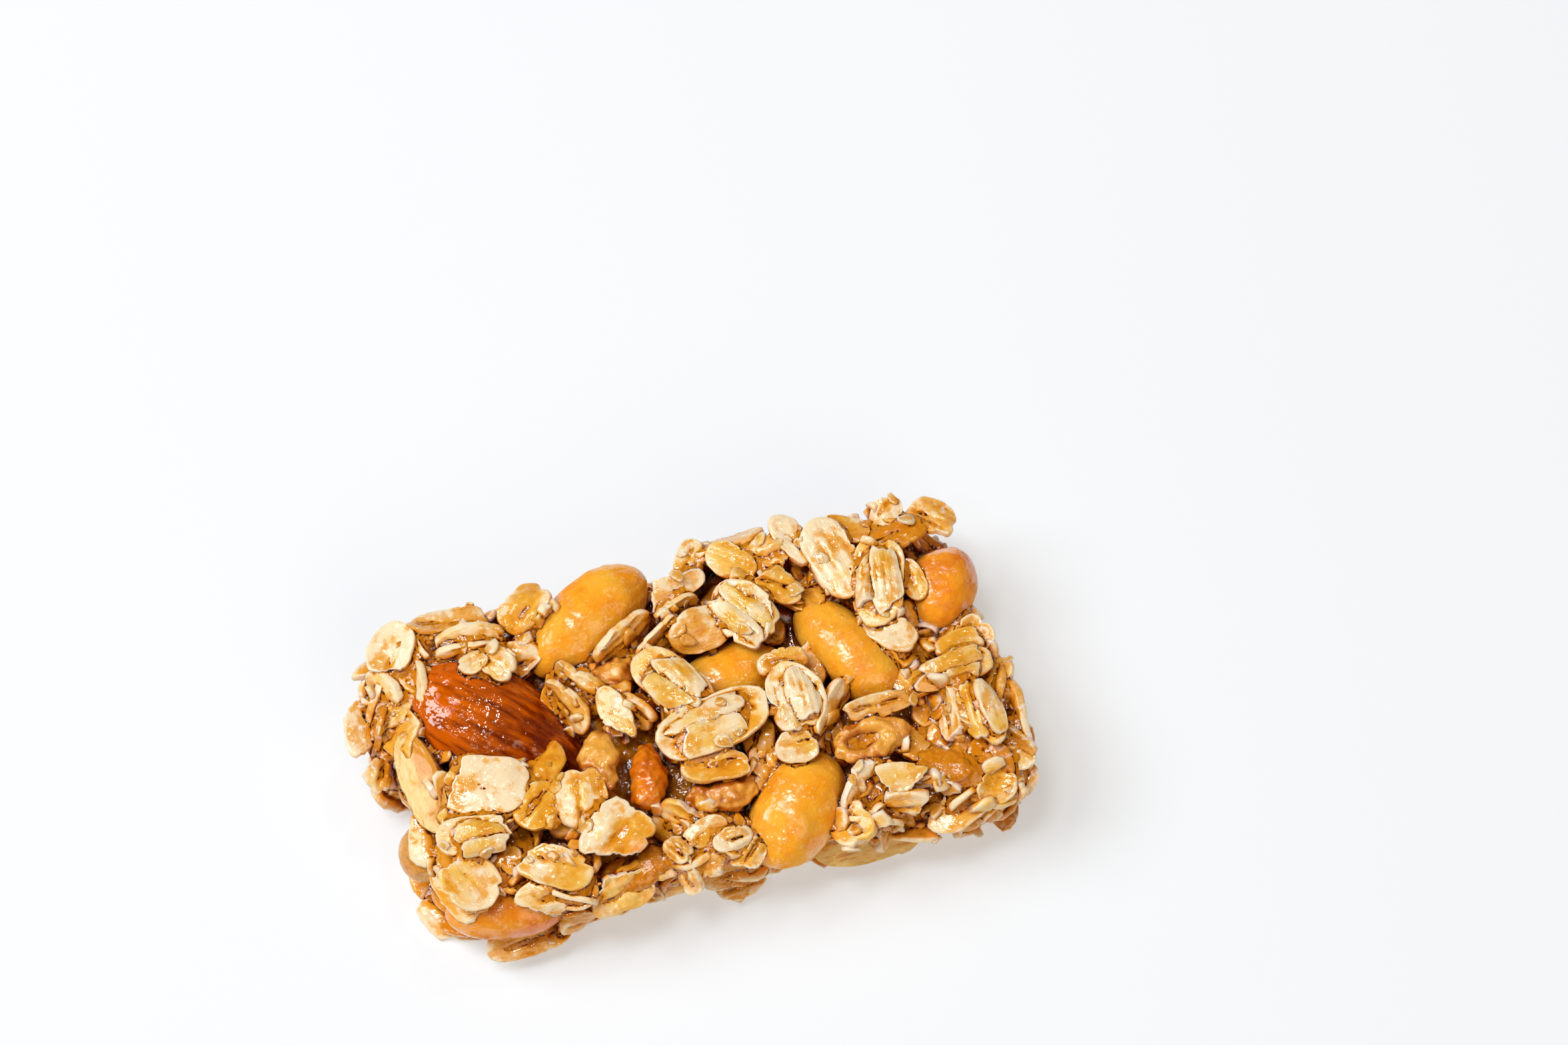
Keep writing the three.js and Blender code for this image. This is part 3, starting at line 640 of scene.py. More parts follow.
def parted(vector, index):
    return addNode(vector.tree, "ShaderNodeSeparateXYZ", {0: vector}, index)


def newTree(name, sockets):  # geometry in and out, and named inputs
    tree = bpy.data.node_groups.new(name, "GeometryNodeTree")
    sockets = {"Geometry": "Geometry", **sockets, "Finish": "Material"}
    add = tree.interface.new_socket
    keys = {label: add(label, in_out="INPUT", socket_type="NodeSocket" + kind).identifier
            for label, kind in sockets.items()}
    add("Geometry", in_out="OUTPUT", socket_type="NodeSocketGeometry")
    start = tree.nodes.new("NodeGroupInput")
    return tree, {label: Wire(start.outputs[label]) for label in sockets}, keys


def endTree(tree, geometry, finish):  # real geometry with its finish
    real = addNode(tree, "GeometryNodeRealizeInstances", {"Geometry": geometry})
    made = addNode(tree, "GeometryNodeSetMaterial", {"Geometry": real, "Material": finish})
    tree.links.new(made.socket, tree.nodes.new("NodeGroupOutput").inputs["Geometry"])


def runTree(thing, tree, keys, settings):  # the result as a plain mesh
    modifier = thing.modifiers.new(tree.name, "NODES")
    modifier.node_group = tree
    for label, value in settings.items():
        modifier[keys[label]] = value
    bpy.context.view_layer.update()
    mesh = bpy.data.meshes.new_from_object(thing.evaluated_get(bpy.context.evaluated_depsgraph_get()))
    thing.modifiers.remove(modifier)
    return mesh


def named(tree, label):
    return addNode(tree, "GeometryNodeInputNamedAttribute", {"Name": label}, "Attribute",
                   data_type="FLOAT_VECTOR")


def randomValue(tree, kind, output, inputs):
    return addNode(tree, "FunctionNodeRandomValue", inputs, output, data_type=kind)


def kindsFrom(take):  # separate shapes of a collection, and a random pick of them
    tree = take["Kinds"].tree
    kinds = addNode(tree, "GeometryNodeCollectionInfo", {
        "Collection": take["Kinds"], "Separate Children": True, "Reset Children": True})
    return kinds, randomValue(tree, "INT", 2, {4: 0, 5: take["Last"], "Seed": take["Seed"]})


def copiesOn(points, kinds, pick, rotation, scale):
    return addNode(points.tree, "GeometryNodeInstanceOnPoints", {
        "Points": points, "Instance": kinds, "Pick Instance": True, "Instance Index": pick,
        "Rotation": rotation, "Scale": scale})


def grown(name, carrier, makeTree, shapes, settings):  # copies of some shapes on a carrier, as one object
    collection = bpy.data.collections.new(name + "_kind")
    for i, shape in enumerate(shapes):
        del shape["values"]["tone"]
        kind = bpy.data.objects.new(f"{name}_kind{i:02d}", newMesh(name, shape, 0))
        collection.objects.link(kind)
    tree, keys = makeTree()
    mesh = runTree(carrier, tree, keys, {"Kinds": collection, "Finish": finishes["oat"], **settings})
    for thing in [*collection.objects, carrier]:
        bpy.data.objects.remove(thing)
    bpy.data.collections.remove(collection)
    mesh.shade_smooth()
    return newObject(name, mesh)


strewn = {
    "kinds": 10,
    "length": 7.6,
    "width": 5.2,
    "grid": (4, 5, 3, 26),
    "size": 1.03,
}


def strewnTree():
    tree, take, keys = newTree("strewnFlakes", {
        "Kinds": "Collection", "Last": "Int", "Size": "Float", "Seed": "Int"})
    kinds, pick = kindsFrom(take)
    scaled = vectorMaths("SCALE", named(tree, "size"), {"Scale": take["Size"]})
    rotation = addNode(tree, "FunctionNodeEulerToRotation", {"Euler": named(tree, "turn")})
    endTree(tree, copiesOn(take["Geometry"], kinds, pick, rotation, scaled), take["Finish"])
    return tree, keys


def strewnFlakes(name, rows, tones, seed):
    guide = bpy.data.meshes.new(name + "_guide")
    guide.from_pydata(((np.array([row[:3] for row in rows]) + shift) * mm).tolist(), [], [])
    turns = [[math.radians(row[7]), math.radians(-row[6]), math.radians(row[5])] for row in rows]
    sizes = [[row[3] / strewn["length"], row[4] / strewn["width"], 1] for row in rows]
    for label, numbers in (("turn", turns), ("size", sizes)):
        guide.attributes.new(label, "FLOAT_VECTOR", "POINT").data.foreach_set("vector", np.ravel(numbers))
    guide.attributes.new("tone", "FLOAT", "POINT").data.foreach_set("value", tones)
    shapes = [flakeShape(strewn["length"], strewn["width"], 10 * seed + i, i % 3 == 0, strewn["grid"])
              for i in range(strewn["kinds"])]
    return grown(name, newObject(name + "_guide", guide), strewnTree, shapes, {
        "Last": strewn["kinds"] - 1, "Size": strewn["size"], "Seed": seed})


# Finishes: each takes the place on the object and the attributes of its mesh

def tint(red, green, blue):  # screen colour, 0 to 255, as a linear one
    linear = [(c / 255 / 12.92) if c < 10 else ((c / 255 + 0.055) / 1.055) ** 2.4 for c in (red, green, blue)]
    return (*linear, 1)


def newFinish(name, **constants):
    material = bpy.data.materials.new(name)
    material.use_nodes = True
    tree = material.node_tree
    for label, value in constants.items():
        tree.nodes["Principled BSDF"].inputs[label.replace("_", " ")].default_value = value
    return material, addNode(tree, "ShaderNodeTexCoord", None, "Object")


def connected(material, **wires):
    shader = material.node_tree.nodes["Principled BSDF"]
    for label, wire in wires.items():
        material.node_tree.links.new(wire.socket, shader.inputs[label.replace("_", " ")])
    return material


def attributes(place, *names):
    return [addNode(place.tree, "ShaderNodeAttribute", None, "Fac", attribute_name=name) for name in names]


def gapOf(place):  # near and far share of what closes round a point
    gap = addNode(place.tree, "ShaderNodeAttribute", None, "Vector", attribute_name="gap")
    return parted(gap, 0), parted(gap, 1)


def fadeIn(value, low, high):
    return addNode(value.tree, "ShaderNodeMapRange", {"Value": value, "From Min": low, "From Max": high},
                   interpolation_type="SMOOTHSTEP")


def mixed(share, first, second, way="MIX"):
    return addNode(share.tree, "ShaderNodeMix", {0: share, 6: first, 7: second}, 2, data_type="RGBA",
                   blend_type=way)


def noise(place, scale, detail=3.0, roughness=0.55):
    return addNode(place.tree, "ShaderNodeTexNoise", {"Vector": place, "Scale": scale, "Detail": detail,
                   "Roughness": roughness}, "Fac")


def cells(place, scale, feature="F1"):
    return addNode(place.tree, "ShaderNodeTexVoronoi", {"Vector": place, "Scale": scale}, "Distance",
                   feature=feature)


def mapped(place, **settings):
    return addNode(place.tree, "ShaderNodeMapping", {"Vector": place, **settings})


def raised(height, depth, strength=1.0, below=None):
    inputs = {"Height": height, "Distance": depth, "Strength": strength}
    if below is not None:
        inputs["Normal"] = below
    return addNode(height.tree, "ShaderNodeBump", inputs, "Normal")


def glints(place, scale, share):  # small wet domes, thicker in some places than in others
    dome = fadeIn(cells(place, scale), 0.42, 0.08)
    return dome * fadeIn(noise(place, scale * 0.25), 0.75 - share, 0.85 - share)


dropDepth = 0.00013  # of the wet domes, in metres, as all depths below

oatColours = {
    "cream": tint(253, 231, 194),
    "straw": tint(247, 200, 100),
    "ochre": tint(240, 168, 38),
    "glaze": tint(218, 132, 10),
    # brown and deep: the darkest gaps between flakes, mostly painted shade
    "brown": tint(148, 54, 2),
    "deep": tint(48, 10, 0),
    "flour": tint(254, 248, 240),
    # painted shade: warm tint multiplied into crevices, hollows and enclosed sides
    "warm": tint(255, 176, 74),
}


def oatFinish():
    material, place = newFinish("oatFlake", Subsurface_Weight=0.2, Subsurface_Scale=0.0008,
                                Subsurface_Radius=(1.0, 0.75, 0.5), Coat_IOR=1.62, Coat_Roughness=0.08,
                                Specular_IOR_Level=0.03)
    tone, edge, own, cut, hollow = attributes(place, "tone", "edge", "own", "cut", "hollow")
    along, across = attributes(place, "along", "across")
    crevice, deep = gapOf(place)
    fibre = noise(combined(along * 1.2, across * 7, own * 40), 2.2, 4, 0.6)
    middle = along * along * -1.0 + across * across * -1.0
    moved = mapped(place, Location=(3, 5, 7))
    patch, stain = noise(place, 280), noise(moved, 360, 4, 0.6)
    small, fine = noise(place, 900), noise(place, 1700)
    yellow = patch + middle * 0.16 + own * 0.3 + fibre * 0.15 + hollow * 0.2
    colour = mixed(fadeIn(yellow, 0.58, 0.84), oatColours["cream"], oatColours["straw"])
    colour = mixed(fadeIn(yellow, 0.78, 1.0) * 0.6, colour, oatColours["ochre"])
    # painted shade: a warm orange tint multiplied in where the flake is closed in by its neighbours, in
    # crevices and hollows, standing in for light bounced inside the amber
    colour = mixed(fadeIn(crevice + deep * 0.6 + hollow * 0.5, 0.1, 0.5), colour, oatColours["warm"],
                   "MULTIPLY")
    soaked = fadeIn(tone, 0.72, 1)
    wet = stain + tone * 0.2 + soaked * 0.35 + crevice * 0.8 + hollow * 0.25 + small * 0.35 + edge * -0.1
    colour = mixed(fadeIn(wet, 0.67, 0.84) * 0.85, colour, oatColours["ochre"])
    colour = mixed(fadeIn(wet, 0.82, 1.05) * 0.9, colour, oatColours["glaze"])
    # painted shade: brown, then near-black, deep in the gaps between flakes, with the patchy stain mixed in
    # where it starts
    shade = crevice * 0.65 + deep * 1.15 + stain * 0.4
    colour = mixed(fadeIn(shade, 0.96, 1.36), colour, oatColours["brown"])
    colour = mixed(fadeIn(shade, 1.36, 1.7), colour, oatColours["deep"])
    torn = cut * fadeIn(tone + fine * 0.6, 0.9, 0.5)
    colour = mixed(torn * 0.6, colour, oatColours["flour"])
    ends = maths("ABSOLUTE", parted(place, 0))
    dusty = fadeIn(ends, 0.031, 0.036) * fadeIn(noise(moved, 800, 4), 0.53, 0.68)
    colour = mixed(dusty * fadeIn(crevice, 0.35, 0.1), colour, oatColours["flour"])
    dry = addNode(place.tree, "ShaderNodeMapRange", {"Value": wet, "From Min": 0.65, "From Max": 0.95,
                  "To Min": 0.5, "To Max": 0.2})
    drops = glints(place, 820, 0.4)
    relief = raised(drops, 0.00004, 0.7, raised(fibre, 0.00014, 0.8))
    return connected(material, Base_Color=colour, Roughness=dry + fine * 0.12,
                     Coat_Weight=fadeIn(wet, 0.45, 0.85), Normal=raised(fine, 0.0001, 0.7, relief),
                     Coat_Normal=raised(drops, 0.00012, 1, raised(small, 0.00015, 0.8)))


syrupColours = {
    "thin": tint(212, 132, 20),
    "amber": tint(174, 90, 6),
    # brown and deep: the syrup in the gaps, the brown partly its own darker colour, the deep painted shade
    "brown": tint(94, 25, 0),
    "deep": tint(26, 5, 0),
    "grain": tint(236, 176, 100),
}


def syrupFinish():
    material, place = newFinish("syrup", Subsurface_Weight=0.35, Subsurface_Scale=0.0015,
                                Subsurface_Radius=(1.0, 0.35, 0.06), Coat_Weight=1.0, Coat_IOR=1.58,
                                Coat_Roughness=0.08, Specular_IOR_Level=0.0)
    crevice, deep = gapOf(place)
    patch, fine = noise(place, 420), noise(place, 1300, 4)
    grain = cells(place, 1400)
    colour = mixed(fadeIn(patch * 0.8 + fine * 0.5 + crevice * 0.5, 0.6, 1.2), syrupColours["thin"],
                   syrupColours["amber"])
    # brown in the gaps and in patches, partly the syrup's own colour and partly painted shade; near-black
    # deep in the gaps, painted shade
    colour = mixed(fadeIn(crevice + deep * 0.5 + patch * 0.5, 0.48, 0.98), colour, syrupColours["brown"])
    colour = mixed(fadeIn(deep * 0.8 + crevice * 0.9, 0.75, 1.2), colour, syrupColours["deep"])
    colour = mixed(fadeIn(grain, 0.3, 0.1) * 0.35, colour, syrupColours["grain"])
    flow = raised(noise(place, 600), 0.0006, 0.6)
    return connected(material, Base_Color=colour, Roughness=fine * 0.35 + patch * 0.15,
                     Normal=raised(fine, 0.0002, 0.8, raised(grain, 0.0003, 0.8)),
                     Coat_Normal=raised(glints(place, 820, 0.45), dropDepth, 1, flow))


def nutGrain(place):  # the nut's own coordinates, so that patterns follow it
    return combined(*attributes(place, "localX", "localY", "localZ"))


def crackled(place, depth):  # glaze that is broken up in patches, with a few specks between them
    patch = fadeIn(noise(place, 240, 2), 0.38, 0.5)
    broken = fadeIn(noise(place, 480), 0.36, 0.46)
    drops = glints(place, 1100, 0.25)
    relief = raised(noise(place, 750, 2), depth, 1, raised(noise(place, 300, 2), 0.0004, 0.7))
    return {"Coat_Weight": patch * broken * 0.85 + drops * 0.9 + patch * 0.12,
            "Coat_Normal": raised(drops, dropDepth, 1, relief)}


def peanutFinish(name, low, high, spot):
    material, place = newFinish(name, Subsurface_Weight=0.3, Subsurface_Scale=0.0018,
                                Subsurface_Radius=(1.0, 0.45, 0.1), Coat_IOR=1.75, Coat_Roughness=0.22,
                                Specular_IOR_Level=0.05)
    grain = nutGrain(place)
    crevice, deep = gapOf(place)
    patch, fine = noise(grain, 0.28), noise(grain, 1.6, 4)
    colour = mixed(fadeIn(patch * 0.9 + fine * 0.3, 0.42, 0.8), low, high)
    colour = mixed(fadeIn(fine, 0.56, 0.72) * 0.6, colour, spot)
    # painted shade: browner where the nut lies in crevices and gaps among its neighbours
    colour = mixed(fadeIn(crevice + deep * 0.3 + fine * 0.3, 0.55, 1.1), colour, tint(150, 76, 22))
    return connected(material, Base_Color=colour, Roughness=fine * 0.4 + patch * 0.2,
                     Normal=raised(noise(place, 2600, 2), 0.00005, 0.8, raised(fine, 0.00022, 0.6)),
                     **crackled(place, 0.0002))


def almondFinish():
    material, place = newFinish("almondSkin", Subsurface_Weight=0.1, Subsurface_Scale=0.001,
                                Subsurface_Radius=(1.0, 0.4, 0.1), Coat_IOR=1.75, Coat_Roughness=0.06,
                                Specular_IOR_Level=0.0)
    grain = nutGrain(place)
    streak = noise(mapped(grain, Scale=(0.12, 1, 1)), 1.5, 4)
    patch, fine = noise(grain, 0.3), noise(place, 900)
    ridge, along = attributes(place, "ridge", "along")
    # own streaks and patches, and, as painted shade, darker towards the far end, which is turned away from
    # the lamps
    colour = mixed(fadeIn(streak * 0.9 + ridge * 0.05 + patch * 0.4 + along * -0.26, 0.4, 0.96),
                   tint(104, 26, 0), tint(214, 98, 3))
    # painted shade: near-black in the crevices where the almond meets its neighbours
    colour = mixed(fadeIn(gapOf(place)[0], 0.15, 0.7), colour, tint(60, 12, 1))
    relief = raised(cells(place, 700, "SMOOTH_F1"), 0.0002, 0.5, raised(streak, 0.0001, 0.4))
    return connected(material, Base_Color=colour, Roughness=fine * 0.35 + patch * 0.15,
                     Normal=raised(fine, 0.0001, 0.6, relief), **crackled(place, 0.00028))


def cutFinish():
    material, place = newFinish("cutNut", Subsurface_Weight=0.3, Subsurface_Scale=0.0015,
                                Subsurface_Radius=(1.0, 0.6, 0.25), Coat_Weight=0.6, Coat_Roughness=0.15,
                                Specular_IOR_Level=0.1)
    grain = nutGrain(place)
    cut, across = attributes(place, "cut", "localY")
    patch, fine = noise(grain, 0.4), noise(grain, 2, 4)
    fibre = noise(mapped(grain, Scale=(0.15, 1, 1)), 1.8, 4, 0.6)
    flesh = mixed(fadeIn(patch * 0.6 + fibre * 0.5, 0.4, 0.75), tint(255, 222, 146), tint(252, 194, 88))
    flesh = mixed(fadeIn(fibre, 0.56, 0.68) * 0.75, flesh, tint(214, 134, 40))
    flesh = mixed(fadeIn(across * 0.22 + patch + fine * 0.2, 0.5, 0.85), flesh, tint(238, 162, 54))
    skin = mixed(fadeIn(patch, 0.35, 0.7), tint(228, 156, 60), tint(246, 192, 100))
    colour = mixed(cut, skin, flesh)
    # painted shade: browner in the gaps round the piece
    colour = mixed(fadeIn(gapOf(place)[0] + fine * 0.3, 0.5, 1.1), colour, tint(166, 92, 32))
    return connected(material, Base_Color=colour, Roughness=fine * 0.5 + patch * 0.3,
                     Normal=raised(fine, 0.0003, 0.8, raised(fibre, 0.0008, 1)))


def crispFinish():
    material, place = newFinish("riceCrisp", Subsurface_Weight=0.25, Subsurface_Scale=0.0015,
                                Subsurface_Radius=(1.0, 0.45, 0.12), Coat_Weight=0.9, Coat_IOR=1.75,
                                Coat_Roughness=0.14, Specular_IOR_Level=0.12)
    crevice, deep = gapOf(place)
    bubble, fine, patch = cells(place, 900, "SMOOTH_F1"), noise(place, 1100, 4), noise(place, 350, 2)
    # darker amber in patches and, as painted shade, in its crevices; then dark brown deeper in the gaps,
    # painted shade
    colour = mixed(fadeIn(patch * 0.7 + fine * 0.4 + crevice, 0.42, 0.8), tint(242, 176, 70),
                   tint(192, 100, 14))
    colour = mixed(fadeIn(crevice + deep * 0.5 + fine * 0.4, 0.55, 1.1), colour, tint(100, 40, 3))
    return connected(material, Base_Color=colour, Roughness=fine * 0.4 + patch * 0.1,
                     Normal=raised(fine, 0.0002, 0.8, raised(bubble, 0.0004, 0.6)),
                     Coat_Normal=raised(glints(place, 1100, 0.45), dropDepth, 1, raised(fine, 0.0003, 0.8)))


finishes = {
    "oat": oatFinish(),
    "syrup": syrupFinish(),
    "peanut": peanutFinish("peanutGlazed", tint(252, 182, 54), tint(242, 150, 16), tint(255, 214, 120)),
    "amberPeanut": peanutFinish("peanutAmber", tint(250, 166, 42), tint(224, 116, 8), tint(252, 200, 108)),
    "chunk": peanutFinish("nutChunk", tint(240, 138, 18), tint(196, 80, 4), tint(250, 186, 84)),
    "almond": almondFinish(),
    "half": cutFinish(),
    "crisp": crispFinish(),
}
nutFinishes = {name: finishes[nut["finish"]] for name, nut in nuts.items()}
materials = [(topFlakes, finishes["oat"]), (lobed, finishes["oat"])]
for thing, finish in materials + [(nutObjects[name], nutFinishes[name]) for name in nuts]:
    thing.data.materials.append(finish)

pressing = {
    "step": 0.012,       # between the lowest levels of flakes, so that no two lie in one plane
    "steps": 17,
}


def ruleFlakes(name, rows, tones, seed, lowest=None):
    thing = strewnFlakes(name, rows, tones, seed)
    if lowest is not None:  # pressed flat underneath, each flake by itself
        points = pointsOf(thing.data)
        flake = np.arange(len(points)) * len(rows) // len(points)
        level = lowest + pressing["step"] * (flake * 7 % pressing["steps"])
        points[:, 2] = np.maximum(points[:, 2], level)
        setPoints(thing.data, points)
    return thing


toneDraw = makeDraw(31)


def tonesOf(rows, low, high):
    return [toneDraw(low, high) for _ in rows]


aroundTones = tonesOf(bed, 0.55, 0.95) + tonesOf(sides, 0.1, 0.9) + tonesOf(under, 0.4, 0.9)
aroundFlakes = ruleFlakes("oat_flakes_around", around, aroundTones, 5, 0.02)
betweenFlakes = ruleFlakes("oat_flakes_between", between, tonesOf(between, 0.35, 0.9), 6)
wallFlakes = ruleFlakes("oat_flakes_wall", wall, tonesOf(wall, 0.2, 1), 7, 0.07)
pressedFlakes = ruleFlakes("oat_flakes_pressed", pressed, tonesOf(pressed, 0.2, 1), 8, 0.12)
flakeThings = [topFlakes, lobed, aroundFlakes, betweenFlakes, wallFlakes, pressedFlakes]
print("flakes by rule:", sum(map(len, (around, between, wall, pressed))))


# Core and syrup: one skin over the whole mass, drawn into the gaps
syrup = {
    "voxel": 0.46,
    "smoothing": 5,
    "share": 0.6,        # of the way to the neighbours' middle in each round
    "sink": 0.12,        # below the flakes that it holds
    "nutShrink": 0.3,
    "grain": 0.1,
    "grainShare": 0.6,   # of the grain, left by the sinking
    "lowest": 0.03,
}

clumps = {  # crumbs bound by syrup that stand out between the flakes
    "clump_front_right": newNut("chunk", (26.6, -13.8, 12.5), (8.6, 6.6, 4.4), -20),
    "clump_front": newNut("chunk", (-9.4, -16.2, 11.4), (6.6, 5, 3.8), 20),
    "clump_back_right": newNut("chunk", (32.2, 2.2, 11.5), (6.6, 5.6, 4.2), 50),
    "clump_left": newNut("chunk", (-22.4, -11.2, 12), (6, 4.4, 3.4), -30),
}


def coreShape():
    bevel, bottom, top = bar["coreBevel"], bar["coreBottom"], bar["skinTop"]
    levels = [(bevel, bottom), (0, bottom + bevel), (0, top - bevel), (bevel, top)]
    rings = [np.column_stack([insetOutline(bar["crumbDepth"] + inset), np.full(len(bar["outline"]), z)])
             for inset, z in levels]
    quads, tris = (np.roll(faces[:, ::-1], 1, axis=1)
                   for faces in loftFaces(len(levels), len(bar["outline"])))
    return {"points": np.concatenate(rings + [[[0, 0, bottom], [0, 0, top]]]), "quads": quads, "tris": tris,
            "values": {}}


def smoothed(points, edges, rounds, share):
    count = np.bincount(edges.ravel(), minlength=len(points))[:, None]
    for _ in range(rounds):
        sums = np.zeros_like(points)
        for axis in range(3):
            sums[:, axis] = (np.bincount(edges[:, 0], points[edges[:, 1], axis], len(points))
                             + np.bincount(edges[:, 1], points[edges[:, 0], axis], len(points)))
        points = (1 - share) * points + share * sums / np.maximum(count, 1)
    return points


def joinedCopy(things):
    copies = [newObject("copy", thing.data.copy()) for thing in things]
    with bpy.context.temp_override(active_object=copies[0], selected_editable_objects=copies):
        bpy.ops.object.join()
    return copies[0]


def syrupSkin(held):
    soft = []
    for name, shape in nutShapes.items():
        middle = shape["points"].mean(0)
        away = shape["points"] - middle
        reach = np.linalg.norm(away, axis=1, keepdims=True)
        soft.append(dict(shape, points=middle + away * (reach - syrup["nutShrink"]) / reach, values={}))
    soft += [dict(nutShape(name, clump), values={}) for name, clump in clumps.items()]
    firm = newObject("part", newMesh("part", joined([coreShape()] + soft), shift))
    block = joinedCopy([firm, *held])
    setPoints(block.data, pointsOf(block.data) / mm)  # the remesh works on large numbers
    modifier = block.modifiers.new("one skin", "REMESH")
    modifier.mode, modifier.voxel_size = "VOXEL", syrup["voxel"]
    bpy.context.view_layer.update()
    mesh = bpy.data.meshes.new_from_object(block.evaluated_get(bpy.context.evaluated_depsgraph_get()))
    for thing in (block, firm):
        bpy.data.objects.remove(thing)
    edges = np.empty(len(mesh.edges) * 2, np.int32)
    mesh.edges.foreach_get("vertices", edges)
    points = smoothed(pointsOf(mesh) * mm, edges.reshape(-1, 2), syrup["smoothing"], syrup["share"])
    setPoints(mesh, points)
    normals = readPoints(mesh.vertex_normals, "vector")
    points = points - normals * syrup["sink"]
    grain = syrup["grain"] * waves(points, 3, 24, 1.0, 2.4) * syrup["grainShare"]
    points = points + normals * grain[:, None]
    points[:, 2] = np.maximum(points[:, 2], syrup["lowest"])
    setPoints(mesh, points)
    mesh.shade_smooth()
    mesh.materials.clear()
    mesh.materials.append(finishes["syrup"])
    return newObject("oat_core_syrup", mesh)


syrupObject = syrupSkin(flakeThings[:-1])  # the flakes pressed underneath stay outside the skin
print("syrup skin faces:", len(syrupObject.data.polygons))

# Small pieces strewn over the skin: broken flakes in the gaps, and crumbs
scatter = {
    "oat_chips": {
        "kinds": 8, "size": (3, 1.9), "plump": 0.5, "grid": (1, 4, 0, 14),
        "tree": {"Density": 0.018, "Gap From": 0.4, "Gap To": 0.1, "Gap End": 0.5, "Low": 0.4, "High": 1.0,
                 "Tilt": 0.25, "Lift": 0.15, "On Walls": 0.0, "Seed": 12}},
    "oat_fragments": {
        "kinds": 9, "size": (3.6, 2.4), "plump": 0.8, "grid": (1, 4, 0, 13),
        "tree": {"Density": 0.4, "Gap From": 0.08, "Gap To": 0.3, "Gap End": 0.62, "Low": 0.35, "High": 1.15,
                 "Tilt": 0.6, "Lift": 0.1, "On Walls": 0.7, "Seed": 4}},
    "oat_crumbs": {
        "kinds": 6, "size": (1.0, 0.7), "plump": 0.4, "grid": (0, 3, 0, 7),
        "tree": {"Density": 0.3, "Gap From": -0.05, "Gap To": 0.5, "Gap End": 0.7, "Low": 0.35, "High": 1.2,
                 "Tilt": 1.5, "Lift": 0.02, "On Walls": 0.8, "Seed": 9}},
}
uprightLimit = 0.55      # a wall's normal points up or down less than this
lowestBit = 0.02


def scatterTree():
    labels = ("Density", "Gap From", "Gap To", "Gap End", "Low", "High", "Tilt", "Lift", "On Walls")
    tree, take, keys = newTree("scatter", {"Kinds": "Collection", "Last": "Int", "Seed": "Int",
                                           **{label: "Float" for label in labels}})
    gap = parted(named(tree, "gap"), 0)
    share = addNode(tree, "ShaderNodeMapRange", {"Value": gap, "From Min": take["Gap From"],
                    "From Max": take["Gap To"]})
    upright = parted(addNode(tree, "GeometryNodeInputNormal"), 2)
    onWall = maths("LESS_THAN", maths("ABSOLUTE", upright), uprightLimit)
    share = maths("MAXIMUM", share, onWall * take["On Walls"])
    dense = share * maths("LESS_THAN", gap, take["Gap End"]) * take["Density"]
    spread = addNode(tree, "GeometryNodeDistributePointsOnFaces", {
        "Mesh": take["Geometry"], "Density": dense * 1e6, "Seed": take["Seed"]}, "Points")
    rotation = Wire(spread.socket.node.outputs["Rotation"])
    kinds, pick = kindsFrom(take)
    scale = randomValue(tree, "FLOAT", 1, {2: take["Low"], 3: take["High"], "Seed": 2})
    tilt = randomValue(tree, "FLOAT_VECTOR", 0, {0: (-1, -1, -3), 1: (1, 1, 3), "Seed": 3})
    tilted = addNode(tree, "FunctionNodeEulerToRotation", {"Euler": vectorMaths("SCALE", tilt,
                     {"Scale": take["Tilt"]})})
    turned = addNode(tree, "FunctionNodeRotateRotation", {"Rotation": rotation, "Rotate By": tilted},
                     rotation_space="LOCAL")
    moved = addNode(tree, "GeometryNodeTranslateInstances", {
        "Instances": copiesOn(spread, kinds, pick, turned, scale),
        "Translation": addNode(tree, "ShaderNodeCombineXYZ", {"Z": take["Lift"] * mm})})
    tone = randomValue(tree, "FLOAT", 1, {3: 0.75, "Seed": 5})
    toned = addNode(tree, "GeometryNodeStoreNamedAttribute", {
        "Geometry": moved, "Name": "tone", "Value": tone}, data_type="FLOAT", domain="INSTANCE")
    endTree(tree, toned, take["Finish"])
    return tree, keys


def scattered(name, settings, carriers):
    shapes = []
    for i in range(settings["kinds"]):
        rng = np.random.default_rng(900 + i)
        breaks = [(rng.uniform(0, 6.28), rng.uniform(0.3, 0.75)) for _ in range(4)]
        shapes.append(flakeShape(*settings["size"], 200 + i, False, settings["grid"], breaks,
                                 settings["plump"]))
    thing = grown(name, joinedCopy(carriers), scatterTree, shapes, {"Last": 99, **settings["tree"]})
    points = pointsOf(thing.data)
    points[:, 2] = np.maximum(points[:, 2], lowestBit)
    setPoints(thing.data, points)
    print(name, "faces:", len(thing.data.polygons))
    return thing


# How far each point lies in a gap, from rays that leave it in all directions
gaps = {
    "rays": 14,
    "near": 2.4,
    "far": 9,
    "lift": 0.05,
    "wide": 0.98,        # how close the outermost rays come to the surface
}


def rayWay(i):  # evenly spread over a ball
    height = 1 - (2 * i + 1) / gaps["rays"]
    turn = i * math.pi * (3 - math.sqrt(5))
    level = math.sqrt(1 - height * height)
    return [gaps["wide"] * c for c in (level * math.cos(turn), level * math.sin(turn), height)]


